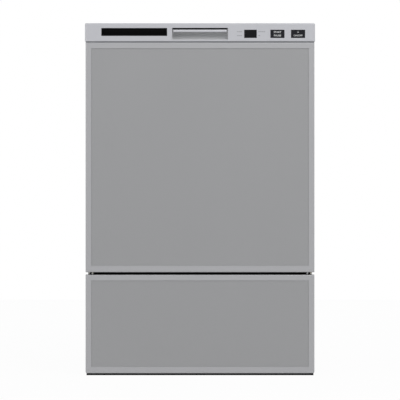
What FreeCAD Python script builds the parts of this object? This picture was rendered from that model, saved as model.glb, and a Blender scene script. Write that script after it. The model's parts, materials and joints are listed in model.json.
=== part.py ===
import FreeCAD, Part
import math
import os
import Sketcher

# Slim built-in dishwasher with a drop-down door, in millimetres.
# +Z is up, the door faces -Y and +X is to the right as seen from the front.
# The origin is at the middle of the footprint, on the floor.

DIMS = [
    ("overall_width", 448, "over the ends of the control fascia"),
    ("overall_height", 686, "floor to the top of the control fascia"),
    ("overall_depth", 600, "door face to the ends of the rear connectors"),
    ("fascia_height", 35, "control fascia"),
    ("fascia_gap", 3, "groove between the fascia and the door frame"),
    ("door_gap", 4.8, "dark gap under the door"),
    ("lower_height", 191.9, "frame round the fixed lower panel"),
    ("base_line", 4.3, "dark lip that shows under the lower frame"),
    ("lip_clear", 0.6, "floor to the underside of the base tray"),
    ("lip_inset", 1.8, "base lip behind the lower frame's sides and face"),
    ("front_inset", 1.25, "door and lower frames inside the fascia's ends"),
    ("border_side", 11, "upright bar of both front frames"),
    ("border_top", 11, "top bar of both front frames"),
    ("border_bottom", 12.6, "bottom bar of both front frames"),
    ("frame_front", 2, "thickness of the front frames' face"),
    ("frame_wall", 2, "thickness of the front frames' flanks"),
    ("frame_round", 4, "rounding of the front frames' outer edge"),
    ("base_corner", 3.5, "rounding of the lower frame's two bottom corners"),
    ("panel_step", 1.2, "flat panels behind the face of their frames"),
    ("panel_sheet", 1.2, "thickness of the flat panels"),
    ("door_depth", 36, "depth of the door frame and of the fascia"),
    ("lower_depth", 20, "depth of the lower frame"),
    ("sheet", 1.5, "case and liner sheet"),
    ("fit_gap", 0.3, "air between pieces of different bodies at rest"),
    ("run_gap", 0.06, "air round a pin or shaft, on the radius"),
    ("plug_depth", 12.5, "how far the liner is pressed in towards the tub"),
    ("plug_margin", 8, "pressed part inside the tub's mouth, all round"),
    ("liner_inset", 5, "liner inside the fascia's ends"),
    ("liner_low", 3, "liner above the door's bottom edge"),
    ("liner_top_drop", 3, "liner under the fascia's top"),
    ("seal_gap", 6.5, "liner to the front of the case"),
    ("seal_width", 8, "door seal"),
    ("seal_edge", 1, "tub's mouth to the door seal"),
    ("case_inset", 4, "case inside the fascia's ends"),
    ("top_drop", 4, "case top under the fascia's top"),
    ("case_low", 16, "floor to the lower edge of the case sheets"),
    ("connector_reach", 14, "rear connectors behind the back cover"),
    ("tub_side_gap", 12.5, "tub to the side sheets"),
    ("tub_top_gap", 25.5, "tub to the top sheet"),
    ("tub_rear_gap", 30.5, "tub to the back cover"),
    ("base_height", 232, "floor to the underside of the tub"),
    ("tub_wall", 2, "thickness of the tub"),
    ("tub_corner", 15, "rounding inside the tub's long corners"),
    ("flange_drop", 10, "tub flange below the tub"),
    ("flange_rise", 13, "tub flange above the tub"),
    ("tray_height", 40, "base tray's rim above the floor"),
    ("tray_wall", 2.5, "base tray"),
    ("tray_floor", 12, "floor to the underside of the tray's floor"),
    ("foot_radius", 15, "levelling foot's pad"),
    ("foot_pad", 7, "height of the foot's pad"),
    ("foot_stem", 5, "radius of the foot's stem"),
    ("foot_length", 34, "whole height of a levelling foot"),
    ("foot_side", 40.5, "levelling feet in from the tray's sides"),
    ("foot_front", 30, "front levelling feet in from the tray's front"),
    ("foot_rear", 34.5, "rear levelling feet in from the tray's back"),
    ("boss_radius", 9, "boss round a foot's stem"),
    ("boss_height", 14, "boss above the tray's floor"),
    ("hinge_setback", 7, "door hinge axis behind the door's face"),
    ("hinge_rise", 7, "door hinge axis above the door's bottom edge"),
    ("hinge_pin", 2.5, "radius of the hinge pins"),
    ("hinge_eye", 4.5, "radius of the bracket's eye"),
    ("hinge_plate", 3, "thickness of brackets and arms"),
    ("hinge_pocket", 14, "room above the axis for the bracket"),
    ("bracket_step", 14, "bracket's thin neck"),
    ("bracket_reach", 94, "bracket behind the axis"),
    ("bracket_half", 11, "half the bracket's height"),
    ("arm_rise", 110, "hinge arm above the axis"),
    ("arm_back", 20, "hinge arm behind the axis"),
    ("lever_drop", 52, "spring end of the hinge arm below the axis"),
    ("lever_width", 8, "spring end of the hinge arm"),
    ("spring_radius", 5, "coil centre line of the door springs"),
    ("spring_wire", 0.9, "wire radius of the door springs"),
    ("spring_turns", 16, "turns of a door spring"),
    ("spring_foot", 58, "floor to the top of the spring posts"),
    ("post_half", 6, "half the width of the spring posts"),
    ("fascia_wall", 2.5, "walls of the control fascia"),
    ("fascia_round", 4, "rounding of the fascia's top edge"),
    ("fascia_end_round", 3, "rounding of the fascia's ends"),
    ("vent_left", 192, "vent's left end, left of the middle"),
    ("vent_width", 128, "vent opening"),
    ("vent_low", 10, "vent above the fascia's lower edge"),
    ("vent_height", 15.4, "vent opening"),
    ("vent_depth", 9, "depth of the vent insert"),
    ("vent_rim", 1.4, "rim of the vent insert"),
    ("slat_height", 1.1, "thickness of a vent slat"),
    ("slat_pitch", 2.5, "vent slat to vent slat"),
    ("recess_width", 109.4, "handle recess"),
    ("recess_low", 2.3, "handle recess above the fascia's lower edge"),
    ("recess_height", 23.4, "handle recess"),
    ("recess_depth", 19, "depth of the recess cup"),
    ("scoop_radius", 16, "curve of the hand space"),
    ("scoop_rise", 17, "centre of that curve above the recess's lower edge"),
    ("cup_wall", 1.5, "walls of the recess cup"),
    ("lever_low", 15.5, "lever bar above the recess's lower edge"),
    ("lever_height", 5.3, "lever bar"),
    ("lever_depth", 4, "lever bar, front to back"),
    ("lever_web", 2, "web that carries the lever bar"),
    ("lever_side", 1.2, "air beside the lever bar"),
    ("lever_pin_back", 9, "lever's pivot behind the door's face"),
    ("lever_pin_drop", 5.5, "lever's pivot under the fascia's top"),
    ("lever_pin", 1.8, "radius of the lever's pivot rod"),
    ("lug_width", 4, "lugs that hold the lever's rod"),
    ("pawl_pin_back", 30, "latch pawl's pivot behind the door's face"),
    ("pawl_pin_drop", 9.5, "latch pawl's pivot under the fascia's top"),
    ("pawl_pin", 1.5, "radius of the pawl's pivot"),
    ("pawl_half", 4, "half the width of the pawl"),
    ("pawl_thick", 3, "pawl's arm"),
    ("arm_thick", 2.4, "pawl's arm behind its pivot, low enough to rise under the top cover's fold"),
    ("hook_drop", 3.5, "hook below the pawl's arm"),
    ("hook_length", 4, "hook, front to back"),
    ("hook_half", 2.75, "half the width of the hook and its arm, which the tail balances"),
    ("hook_air", 0.5, "released hook above the strike's bar"),
    ("ear_width", 3, "ears that hold the pawl's pivot"),
    ("display_left", 86, "display window, right of the middle"),
    ("display_width", 24.5, "display window"),
    ("start_end", 59.5, "start key in from the fascia's right end"),
    ("power_end", 19.4, "power key in from the fascia's right end"),
    ("key_width", 27.5, "keys"),
    ("key_low", 6, "display and keys above the fascia's lower edge"),
    ("key_height", 16.1, "display and keys"),
    ("key_depth", 8.2, "keys, front to back"),
    ("key_lip", 1, "hidden lip that keeps a key in"),
    ("window_depth", 2.5, "display window"),
    ("board_back", 10, "circuit board behind the door's face"),
    ("board_sheet", 1.6, "circuit board"),
    ("board_edge", 3, "circuit board's posts in from its corners"),
    ("cup_left", 80, "detergent cup, left of the middle"),
    ("cup_width", 44, "detergent cup"),
    ("cup_low", 388, "floor to the underside of the detergent cup"),
    ("cup_height", 84, "detergent cup"),
    ("cup_depth", 22, "detergent cup"),
    ("cup_flange", 1.5, "dispenser's face plate"),
    ("flange_right", 68, "dispenser's face plate, right of the middle"),
    ("flange_edge", 5, "dispenser's face plate round the cup"),
    ("lid_sheet", 2, "detergent lid"),
    ("cap_radius", 14, "rinse aid cap"),
    ("cap_place", 40, "rinse aid cap, right of the middle"),
    ("screw_radius", 2.2, "door screws' heads"),
    ("screw_head", 1.2, "height of all screw heads"),
    ("case_screw_radius", 3.5, "case screws' heads"),
    ("rail_inset", 7, "upper rail's depth in from the tub's wall"),
    ("rail_rise", 274, "tub's floor to the underside of the upper rails"),
    ("rail_height", 24, "upper rail"),
    ("rail_lip", 5, "upper and lower lip of the rail"),
    ("rail_web", 2, "back of the rail"),
    ("rail_end", 6, "rails short of the tub's mouth and back"),
    ("runner_gap", 0.5, "air round the runner in its rail"),
    ("runner_width", 4.9, "runner, a little wider than its rail is deep"),
    ("ledge_width", 15, "lower ledge"),
    ("ledge_rise", 16.7, "tub's floor to the top of the lower ledges"),
    ("ledge_sheet", 1.7, "lower ledge"),
    ("rack_wire", 3, "thickness of all rack wires"),
    ("rack_front", 14, "racks behind the liner's pressed face"),
    ("rack_rear", 24, "racks in front of the tub's back"),
    ("upper_side", 18, "upper rack inside the tub's walls"),
    ("upper_rise", 244, "tub's floor to the underside of the upper rack"),
    ("upper_wall", 64, "upper rack's sides above its floor"),
    ("lower_side", 24, "lower rack inside the tub's walls"),
    ("lower_rise", 50, "tub's floor to the underside of the lower rack"),
    ("lower_wall", 60, "lower rack's sides above its floor"),
    ("floor_bars", 10, "bars each way in a rack's floor"),
    ("wall_bars", 10, "upright bars in a rack's side"),
    ("tine_height", 44, "fixed tines"),
    ("tine_count", 8, "tines in a row"),
    ("tine_pitch", 26, "tine to tine"),
    ("fold_height", 64, "folding tines"),
    ("fold_rod", 2, "radius of the folding tines' rod"),
    ("fold_place", 92, "folding tines behind the middle"),
    ("fold_left", 156, "folding tines' rod, left of the middle"),
    ("fold_length", 200, "folding tines' rod"),
    ("hanger_half", 9, "half the width of the upper rack's hangers"),
    ("hanger_front", 150, "front hangers in front of the middle"),
    ("hanger_rear", 110, "rear hangers behind the middle"),
    ("shelf_rod", 2, "radius of the cup shelf's rod"),
    ("shelf_width", 84, "cup shelf"),
    ("shelf_front", 180, "cup shelf in front of the middle"),
    ("shelf_rear", 150, "cup shelf behind the middle"),
    ("shelf_bars", 8, "bars of the cup shelf"),
    ("wheel_radius", 11, "lower rack's wheels"),
    ("wheel_width", 7, "lower rack's wheels"),
    ("wheel_clear", 8.6, "from the lower rack's side to a wheel"),
    ("wheel_place", 120, "wheel axles from the middle"),
    ("axle_radius", 3, "lower rack's axle stubs"),
    ("basket_left", 62, "cutlery basket, right of the middle"),
    ("basket_width", 106, "cutlery basket"),
    ("basket_depth", 86, "cutlery basket"),
    ("basket_height", 92, "cutlery basket"),
    ("basket_wall", 2, "cutlery basket"),
    ("basket_front", 8, "cutlery basket behind the rack's front"),
    ("sump_shift", 10, "sump's centre in front of the middle"),
    ("sump_radius", 80, "upper part of the sump"),
    ("sump_depth", 70, "upper part of the sump"),
    ("well_radius", 50, "lower part of the sump"),
    ("well_low", 78, "floor to the underside of the sump's well"),
    ("sump_wall", 3, "sump"),
    ("mouth_radius", 70, "hole in the tub's floor over the sump"),
    ("filter_radius", 84, "filter plate"),
    ("residue_radius", 32, "residue filter's cup"),
    ("residue_place", 45, "residue filter in front of the middle"),
    ("residue_depth", 54, "residue filter below the tub's floor"),
    ("riser_place", 20, "spray riser behind the middle"),
    ("riser_radius", 12, "spray riser"),
    ("riser_bore", 6, "bore of the spray riser"),
    ("neck_radius", 8, "spray riser's neck in the arm"),
    ("neck_rise", 46, "tub's floor to the top of the riser's nut"),
    ("arm_radius", 172, "lower spray arm's tip"),
    ("upper_arm_radius", 160, "upper spray arm's tip"),
    ("arm_rise_low", 24, "tub's floor to the underside of the lower spray arm"),
    ("arm_height", 12, "spray arms' blades"),
    ("arm_root", 17, "half the width of a spray arm at its hub"),
    ("arm_tip", 11, "half the width of a spray arm at its tip"),
    ("arm_hub", 25, "spray arms' hub"),
    ("hub_rise", 4, "hub above the blade"),
    ("upper_arm_drop", 32, "upper rack's floor down to the underside of its spray arm"),
    ("heater_radius", 130, "heater's ring"),
    ("heater_tube", 4, "radius of the heater's tube"),
    ("heater_rise", 11, "heater's centre line above the tub's floor"),
    ("pump_height", 118, "floor to the wash pump's axis"),
    ("pump_left", 84, "wash pump's casing, right of the middle"),
    ("pump_width", 34, "wash pump's casing"),
    ("pump_radius", 46, "wash pump's casing"),
    ("pump_wall", 3, "pump casings"),
    ("impeller_radius", 38, "wash impeller"),
    ("impeller_back", 3, "impeller's back plate"),
    ("blade_width", 14, "impeller's blades along the shaft"),
    ("blade_thick", 2.5, "impeller's blades"),
    ("blade_count", 6, "impeller's blades"),
    ("shaft_radius", 3, "motor and fan shafts"),
    ("shaft_length", 40, "shaft from the impeller into the motor"),
    ("motor_radius", 40, "wash motor"),
    ("motor_length", 78, "wash motor"),
    ("drain_height", 90, "floor to the drain pump's axis"),
    ("drain_radius", 24, "drain pump"),
    ("drain_length", 64, "drain pump"),
    ("spigot_radius", 9, "drain spigot"),
    ("hose_radius", 11, "drain hose"),
    ("fill_radius", 8, "fill hose"),
    ("drain_place", 97, "drain hose left of the middle"),
    ("fill_place", 120, "inlet and fill hose right of the middle"),
    ("fill_turn", 150, "fill hose's rising run behind the middle"),
    ("inlet_height", 70, "floor to the inlet's axis"),
    ("inlet_radius", 10.48, "inlet's pipe thread, outside"),
    ("thread_relief", 0.8, "groove behind the inlet's thread, and its depth"),
    ("valve_half", 16, "half the width of the inlet valve"),
    ("valve_depth", 40, "inlet valve, front to back"),
    ("coil_radius", 12, "inlet valve's coil"),
    ("coil_height", 34, "inlet valve's coil"),
    ("box_left", 30, "terminal box, right of the middle"),
    ("box_width", 62, "terminal box"),
    ("box_depth", 48, "terminal box"),
    ("box_height", 64, "terminal box"),
    ("gland_place", 60, "cable gland, right of the middle"),
    ("gland_radius", 9, "cable gland"),
    ("gland_bore", 5, "bore of the cable gland"),
    ("gland_reach", 10, "cable gland behind the back cover"),
    ("fan_place", 160, "fan, left of the middle"),
    ("fan_back", 186, "fan behind the middle"),
    ("fan_low", 56, "floor to the underside of the fan housing"),
    ("fan_height", 48, "fan housing"),
    ("fan_radius", 50, "fan housing"),
    ("wheel_out", 38, "fan wheel"),
    ("vane_count", 12, "fan wheel's vanes"),
    ("duct_wall", 2, "fan housing and duct"),
    ("duct_width", 60, "air duct"),
    ("duct_top", 590, "floor to the top of the air duct"),
    ("duct_mouth", 36, "height of the duct's mouth into the tub"),
    ("float_side", 130, "float, right of the middle"),
    ("float_inset", 66, "float behind the tub's mouth"),
    ("float_radius", 18, "float's dome"),
    ("float_height", 22, "float's dome"),
    ("float_stem", 4, "float's stem"),
    ("float_guide", 17, "float's guide under the tub's floor"),
    ("strike_half", 18, "half the width of the latch strike"),
    ("strike_window", 9, "half the width of the strike's window"),
    ("strike_sheet", 1.5, "latch strike"),
]


class Size:
    """A length taken from the sheet, kept both as a number and as the formula that gives it."""

    def __init__(self, value, text):
        self.value = float(value)
        self.text = text

    def join(self, other, sign, swap=False):
        other = as_size(other)
        left, right = (other, self) if swap else (self, other)
        value = {"+": lambda a, b: a + b, "-": lambda a, b: a - b,
                 "*": lambda a, b: a * b, "/": lambda a, b: a / b}[sign](left.value, right.value)
        return Size(value, "(%s %s %s)" % (left.text, sign, right.text))

    def __add__(self, other):
        return self.join(other, "+")

    def __radd__(self, other):
        return self.join(other, "+", swap=True)

    def __sub__(self, other):
        return self.join(other, "-")

    def __rsub__(self, other):
        return self.join(other, "-", swap=True)

    def __mul__(self, other):
        return self.join(other, "*")

    def __rmul__(self, other):
        return self.join(other, "*", swap=True)

    def __truediv__(self, other):
        return self.join(other, "/")

    def __neg__(self):
        return Size(-self.value, "(0 - %s)" % self.text)


def as_size(value):
    return value if isinstance(value, Size) else Size(value, repr(value))


class Sheet:
    """The driving sizes: one plain number to a row, each with a word for its alias."""

    def __init__(self, document, rows):
        sheet = document.addObject("Spreadsheet::Sheet", "dims")
        for row, (alias, value, note) in enumerate(rows, start=1):
            sheet.set("A%d" % row, note)
            sheet.set("B%d" % row, str(value))
            sheet.setAlias("B%d" % row, alias)
        document.recompute()
        for alias, _value, _note in rows:
            setattr(self, alias, Size(sheet.get(alias), "dims." + alias))


doc = FreeCAD.newDocument("dishwasher")
d = Sheet(doc, DIMS)
nodes = []

AXIS_TURN = {"X": FreeCAD.Rotation(FreeCAD.Vector(0, 1, 0), 90),
             "Y": FreeCAD.Rotation(FreeCAD.Vector(1, 0, 0), -90),
             "Z": FreeCAD.Rotation()}
AXIS_PLACES = {"X": "xyz", "Y": "yxz", "Z": "zxy"}


# ---- helpers ---------------------------------------------------------------------------------


def bind(thing, setting, size):
    """Ties one property to the sheet."""
    thing.setExpression(setting, as_size(size).text)


def node(thing, label):
    """Keeps a finished piece under the name of its file."""
    thing.Label = label
    nodes.append(thing)
    return thing


def block(x, y, z):
    """A box between two values on each axis."""
    box = doc.addObject("Part::Box", "block")
    for setting, letter, (low, high) in (("Length", "x", x), ("Width", "y", y), ("Height", "z", z)):
        bind(box, setting, as_size(high) - low)
        bind(box, "Placement.Base." + letter, low)
    return box


def rod(axis, low, high, first, second, radius):
    """A cylinder along an axis; first and second place it on the two other axes, in X, Y, Z order."""
    cylinder = doc.addObject("Part::Cylinder", "rod")
    cylinder.Placement = FreeCAD.Placement(FreeCAD.Vector(), AXIS_TURN[axis])
    bind(cylinder, "Radius", radius)
    bind(cylinder, "Height", as_size(high) - low)
    for letter, value in zip(AXIS_PLACES[axis], (low, first, second)):
        bind(cylinder, "Placement.Base." + letter, value)
    return cylinder


def ball(x, y, z, radius):
    sphere = doc.addObject("Part::Sphere", "ball")
    bind(sphere, "Radius", radius)
    for letter, value in zip("xyz", (x, y, z)):
        bind(sphere, "Placement.Base." + letter, value)
    return sphere


def fused(*pieces):
    whole = doc.addObject("Part::MultiFuse", "fused")
    whole.Shapes = list(pieces)
    return whole


def carved(base, *tools):
    """The base less its tools; fails when a tool takes nothing away."""
    cut = doc.addObject("Part::Cut", "carved")
    cut.Base = base
    cut.Tool = tools[0] if len(tools) == 1 else fused(*tools)
    cut.recompute(True)
    if cut.Shape.Volume > base.Shape.Volume - 0.01:
        raise ValueError("a cut takes nothing from " + base.Label)
    return cut


def group(*pieces):
    """Separate solids that share one file."""
    whole = doc.addObject("Part::Compound", "group")
    whole.Links = list(pieces)
    return whole


def side_span(side, near, far):
    """From near to far of the middle plane, to the right (+1) or to the left (-1)."""
    return (near, far) if side > 0 else (-far, -near)


def rect(left, right, low, high):
    return [(left, low), (right, low), (right, high), (left, high)]


class Disc:
    def __init__(self, x, y, radius):
        self.centre = (x, y)
        self.radius = radius


class Rounded:
    """A rectangle with round corners."""

    def __init__(self, left, right, low, high, radius):
        self.left, self.right, self.low, self.high = (as_size(v) for v in (left, right, low, high))
        self.radius = as_size(radius)

    def corners(self):
        """Centre of each corner's arc, its first angle, and its first and last points."""
        r = self.radius
        places = [(self.right - r, self.high - r, 0), (self.left + r, self.high - r, 1),
                  (self.left + r, self.low + r, 2), (self.right - r, self.low + r, 3)]
        turns = [(1, 0), (0, 1), (-1, 0), (0, -1)]
        for x, y, quarter in places:
            (ax, ay), (bx, by) = turns[quarter], turns[(quarter + 1) % 4]
            yield (x, y), quarter * math.pi / 2, (x + r * ax, y + r * ay), (x + r * bx, y + r * by)


class Piece:
    """A PartDesign body made of pads and cuts between two levels across a plane."""

    def __init__(self, label):
        self.body = doc.addObject("PartDesign::Body", label)
        self.origin = {part.Role: part for part in self.body.Origin.OriginFeatures}
        self.label = label

    def sketch(self, plane, level, outlines):
        sketch = self.body.newObject("Sketcher::SketchObject", "sketch")
        sketch.AttachmentSupport = [(self.origin[plane + "_Plane"], "")]
        sketch.MapMode = "FlatFace"
        bind(sketch, "AttachmentOffset.Base.z", -as_size(level) if plane == "XZ" else level)
        for outline in outlines:
            if isinstance(outline, Disc):
                self.draw_disc(sketch, outline)
            elif isinstance(outline, Rounded):
                self.draw_rounded(sketch, outline)
            else:
                self.draw_polygon(sketch, outline)
        return sketch

    def draw_polygon(self, sketch, corners):
        corners = [(as_size(x), as_size(y)) for x, y in corners]
        first = sketch.GeometryCount
        count = len(corners)
        for here, there in zip(corners, corners[1:] + corners[:1]):
            start = FreeCAD.Vector(here[0].value, here[1].value, 0)
            end = FreeCAD.Vector(there[0].value, there[1].value, 0)
            sketch.addGeometry(Part.LineSegment(start, end), False)
        for step, corner in enumerate(corners):
            edge = first + step
            following = first + (step + 1) % count
            sketch.addConstraint(Sketcher.Constraint("Coincident", edge, 2, following, 1))
            self.place_point(sketch, edge, 1, corner)

    def draw_rounded(self, sketch, outline):
        corners = list(outline.corners())
        arcs = []
        for (x, y), angle, start, end in corners:
            circle = Part.Circle(FreeCAD.Vector(x.value, y.value, 0), FreeCAD.Vector(0, 0, 1),
                                 outline.radius.value)
            arc = sketch.addGeometry(Part.ArcOfCircle(circle, angle, angle + math.pi / 2), False)
            limit = sketch.addConstraint(Sketcher.Constraint("Radius", arc, outline.radius.value))
            bind(sketch, "Constraints[%d]" % limit, outline.radius)
            self.place_point(sketch, arc, 1, start)
            self.place_point(sketch, arc, 2, end)
            arcs.append(arc)
        for place, arc in enumerate(arcs):
            following = arcs[(place + 1) % 4]
            start = FreeCAD.Vector(*(value.value for value in corners[place][3]), 0)
            end = FreeCAD.Vector(*(value.value for value in corners[(place + 1) % 4][2]), 0)
            line = sketch.addGeometry(Part.LineSegment(start, end), False)
            sketch.addConstraint(Sketcher.Constraint("Coincident", arc, 2, line, 1))
            sketch.addConstraint(Sketcher.Constraint("Coincident", line, 2, following, 1))

    def draw_disc(self, sketch, disc):
        x, y = (as_size(value) for value in disc.centre)
        radius = as_size(disc.radius)
        middle = FreeCAD.Vector(x.value, y.value, 0)
        edge = sketch.addGeometry(Part.Circle(middle, FreeCAD.Vector(0, 0, 1), radius.value), False)
        limit = sketch.addConstraint(Sketcher.Constraint("Radius", edge, radius.value))
        bind(sketch, "Constraints[%d]" % limit, radius)
        self.place_point(sketch, edge, 3, (x, y))

    def place_point(self, sketch, edge, point, corner):
        for kind, size in zip(("DistanceX", "DistanceY"), corner):
            limit = sketch.addConstraint(Sketcher.Constraint(kind, -1, 1, edge, point, size.value))
            bind(sketch, "Constraints[%d]" % limit, size)

    def finish(self, feature):
        """Rebuilds and stops at once if the feature failed."""
        feature.recompute(True)
        self.body.recompute()
        if "Invalid" in feature.State or "Error" in feature.State:
            raise RuntimeError("%s failed on %s" % (feature.Name, self.label))
        return feature

    def pad(self, plane, low, high, *outlines):
        """Adds what lies inside the outlines, from the low to the high level."""
        profile = self.sketch(plane, high if plane == "XZ" else low, outlines)
        feature = self.body.newObject("PartDesign::Pad", "pad")
        feature.Profile = profile
        bind(feature, "Length", as_size(high) - low)
        return self.finish(feature)

    def cut(self, plane, low, high, *outlines):
        """Takes away what lies inside the outlines, from the low to the high level."""
        before = self.body.Shape.Volume
        profile = self.sketch(plane, low if plane == "XZ" else high, outlines)
        feature = self.body.newObject("PartDesign::Pocket", "cut")
        feature.Profile = profile
        bind(feature, "Length", as_size(high) - low)
        self.finish(feature)
        if self.body.Shape.Volume > before - 0.01:
            raise ValueError("a cut takes nothing from " + self.label)
        return feature

    def row(self, feature, axis, step, count):
        """Repeats one feature along an axis."""
        pattern = self.body.newObject("PartDesign::LinearPattern", "row")
        pattern.Originals = [feature]
        pattern.Direction = (self.origin[axis + "_Axis"], [""])
        bind(pattern, "Length", as_size(step) * (as_size(count) - 1))
        bind(pattern, "Occurrences", count)
        self.body.Tip = pattern
        return self.finish(pattern)

    def soften(self, radius, chosen):
        """Rounds the edges that the chosen test picks."""
        shape = self.body.Shape
        names = ["Edge%d" % (place + 1) for place, edge in enumerate(shape.Edges) if chosen(edge)]
        if not names:
            raise ValueError("no edge to round on " + self.label)
        base = self.body.Tip
        feature = self.body.newObject("PartDesign::Fillet", "soften")
        feature.Base = (base, names)
        bind(feature, "Radius", radius)
        return self.finish(feature)

    def done(self):
        return node(self.body, self.label)


def runs_along(edge, axis):
    """True for a straight edge along one axis."""
    box = edge.BoundBox
    spans = {"X": box.XLength, "Y": box.YLength, "Z": box.ZLength}
    return all(span < 0.001 for name, span in spans.items() if name != axis) and spans[axis] > 0.01


def edges_along(axis, *tests):
    """A test for straight edges along an axis whose middle passes each further test."""
    return lambda edge: runs_along(edge, axis) and all(test(edge.CenterOfMass) for test in tests)


def near(value, size):
    return abs(value - as_size(size).value) < 0.01


def lattice(plane, levels, across, up, wire, bars_across, bars_up):
    """A flat wire mesh in a plane: a rim and bars both ways, as one solid."""
    left, right = (as_size(value) for value in across)
    bottom, top_edge = (as_size(value) for value in up)
    spans = []
    for count, low, high, upright in ((bars_across, left, right, True), (bars_up, bottom, top_edge, False)):
        count = as_size(count)
        step = (high - low - wire) / (count + 1)
        for place in range(int(count.value) + 2):
            start = low + step * place
            bar = (start, start + wire)
            spans.append((bar, (bottom, top_edge)) if upright else ((left, right), bar))
    turned = {"XY": lambda a, b: (a, b, levels), "XZ": lambda a, b: (a, levels, b),
              "YZ": lambda a, b: (levels, a, b)}[plane]
    return fused(*[block(*turned(a, b)) for a, b in spans])


# ---- places worked out from the sizes --------------------------------------------------------

half = d.overall_width / 2
front = -(d.overall_depth / 2)
rear = d.overall_depth / 2
top = d.overall_height

lower_low = d.base_line
lower_high = lower_low + d.lower_height
door_low = lower_high + d.door_gap
fascia_low = top - d.fascia_height
door_high = fascia_low - d.fascia_gap
frame_half = half - d.front_inset
frame_inner = frame_half - d.border_side

door_back = front + d.door_depth
liner_back = door_back + d.sheet
plug_face = liner_back + d.plug_depth
case_front = liner_back + d.seal_gap
back_face = rear - d.connector_reach
back_inner = back_face - d.sheet
lower_back = front + d.lower_depth

case_half = half - d.case_inset
case_inner = case_half - d.sheet
case_top = top - d.top_drop
roof_low = case_top - d.sheet

tub_half = case_inner - d.tub_side_gap
tub_inner = tub_half - d.tub_wall
tub_low = d.base_height
tub_floor = tub_low + d.tub_wall
tub_high = case_top - d.tub_top_gap
tub_roof = tub_high - d.tub_wall
tub_rear = back_face - d.tub_rear_gap
tub_back = tub_rear - d.tub_wall

axis_y = front + d.hinge_setback
axis_z = door_low + d.hinge_rise
rack_front = plug_face + d.rack_front
rack_back = tub_back - d.rack_rear
foot_x = case_inner - d.foot_side
foot_y = (lower_back + d.foot_front, back_inner - d.foot_rear)
float_y = case_front + d.float_inset
start_left = half - d.start_end - d.key_width
power_left = half - d.power_end - d.key_width

lower_floor = tub_floor + d.lower_rise
upper_floor = tub_floor + d.upper_rise
rail_low = tub_floor + d.rail_rise
ledge_top = tub_floor + d.ledge_rise
arm_low = tub_floor + d.arm_rise_low
neck_top = tub_floor + d.neck_rise
upper_arm_low = upper_floor - d.upper_arm_drop

recess_low = fascia_low + d.recess_low
recess_high = recess_low + d.recess_height
lever_pin_y = front + d.lever_pin_back
lever_pin_z = top - d.lever_pin_drop
pawl_y = front + d.pawl_pin_back
pawl_z = top - d.pawl_pin_drop
strike_bar_top = pawl_z - d.pawl_thick / 2 - d.hook_drop - d.hook_air
strike_low = tub_high + d.flange_rise
tail_top = pawl_z + d.pawl_thick / 2


# ---- case ------------------------------------------------------------------------------------


def make_base_tray():
    """Moulded pan under everything, with a thin lip that shows below the lower frame."""
    tray = Piece("base_tray")
    tray.pad("XY", d.lip_clear, d.tray_height, rect(-case_inner, case_inner, lower_back, back_inner))
    inside = rect(-case_inner + d.tray_wall, case_inner - d.tray_wall,
                  lower_back + d.tray_wall, back_inner - d.tray_wall)
    tray.cut("XY", d.lip_clear, d.tray_floor, inside)
    tray_top = d.tray_floor + d.tray_wall
    tray.cut("XY", tray_top, d.tray_height, inside)
    lip_half = frame_half - d.lip_inset
    tray.pad("XY", d.lip_clear, lower_low,
             rect(-lip_half, lip_half, front + d.lip_inset, lower_back + d.tray_wall))
    feet = [(x, y) for x in (-foot_x, foot_x) for y in foot_y]
    tray.pad("XY", d.tray_floor, tray_top + d.boss_height,
             *[Disc(x, y, d.boss_radius) for x, y in feet])
    tray.cut("XY", d.tray_floor, tray_top + d.boss_height,
             *[Disc(x, y, d.foot_stem + d.run_gap) for x, y in feet])
    posts = []
    for side in (-1, 1):
        x = side_span(side, spring_x - d.post_half, spring_x + d.post_half)
        posts.append(rect(*x, spring_y - d.post_half, spring_y + d.post_half))
    tray.pad("XY", d.tray_floor, d.spring_foot, *posts)
    tray.done()


def make_side_panels():
    """Sheet sides; their lower part reaches further forward, to carry the lower frame."""
    for side, label in ((-1, "left_side_panel"), (1, "right_side_panel")):
        panel = Piece(label)
        low, high = side_span(side, case_inner, case_half)
        step = lower_high - d.lip_inset
        panel.pad("YZ", low, high, [(lower_back, d.case_low), (back_face, d.case_low),
                                    (back_face, roof_low), (case_front, roof_low),
                                    (case_front, step), (lower_back, step)])
        panel.done()


def make_top_cover():
    """Top sheet, folded down in front, with a notch that the latch strike bridges."""
    cover = Piece("top_cover")
    cover.pad("XY", roof_low, case_top, rect(-case_half, case_half, case_front, back_face))
    flange_top = tub_high + d.flange_rise
    cover.pad("XZ", case_front, case_front + d.sheet, rect(-case_inner, case_inner, flange_top, roof_low))
    notch = d.strike_half - d.sheet * 2
    cover.cut("XZ", case_front, case_front + d.sheet, rect(-notch, notch, flange_top, roof_low))
    cover.done()


def make_back_cover():
    """Rear sheet with holes for the two connectors and the gland, and air slots for the fan."""
    cover = Piece("back_cover")
    cover.pad("XZ", back_inner, back_face, rect(-case_inner, case_inner, d.tray_height, roof_low))
    cover.cut("XZ", back_inner, back_face,
              Disc(d.fill_place, d.inlet_height, d.inlet_radius + d.fit_gap),
              Disc(-d.drain_place, d.drain_height, d.hose_radius + d.fit_gap),
              Disc(d.gland_place, d.inlet_height, d.gland_radius + d.fit_gap))
    slot_left = -d.fan_place - d.fan_radius / 2
    slot = cover.cut("XZ", back_inner, back_face,
                     rect(slot_left, slot_left + d.fan_radius, d.fan_low, d.fan_low + d.slat_pitch))
    cover.row(slot, "Z", d.slat_pitch * 2.4, 8)
    cover.done()


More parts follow.
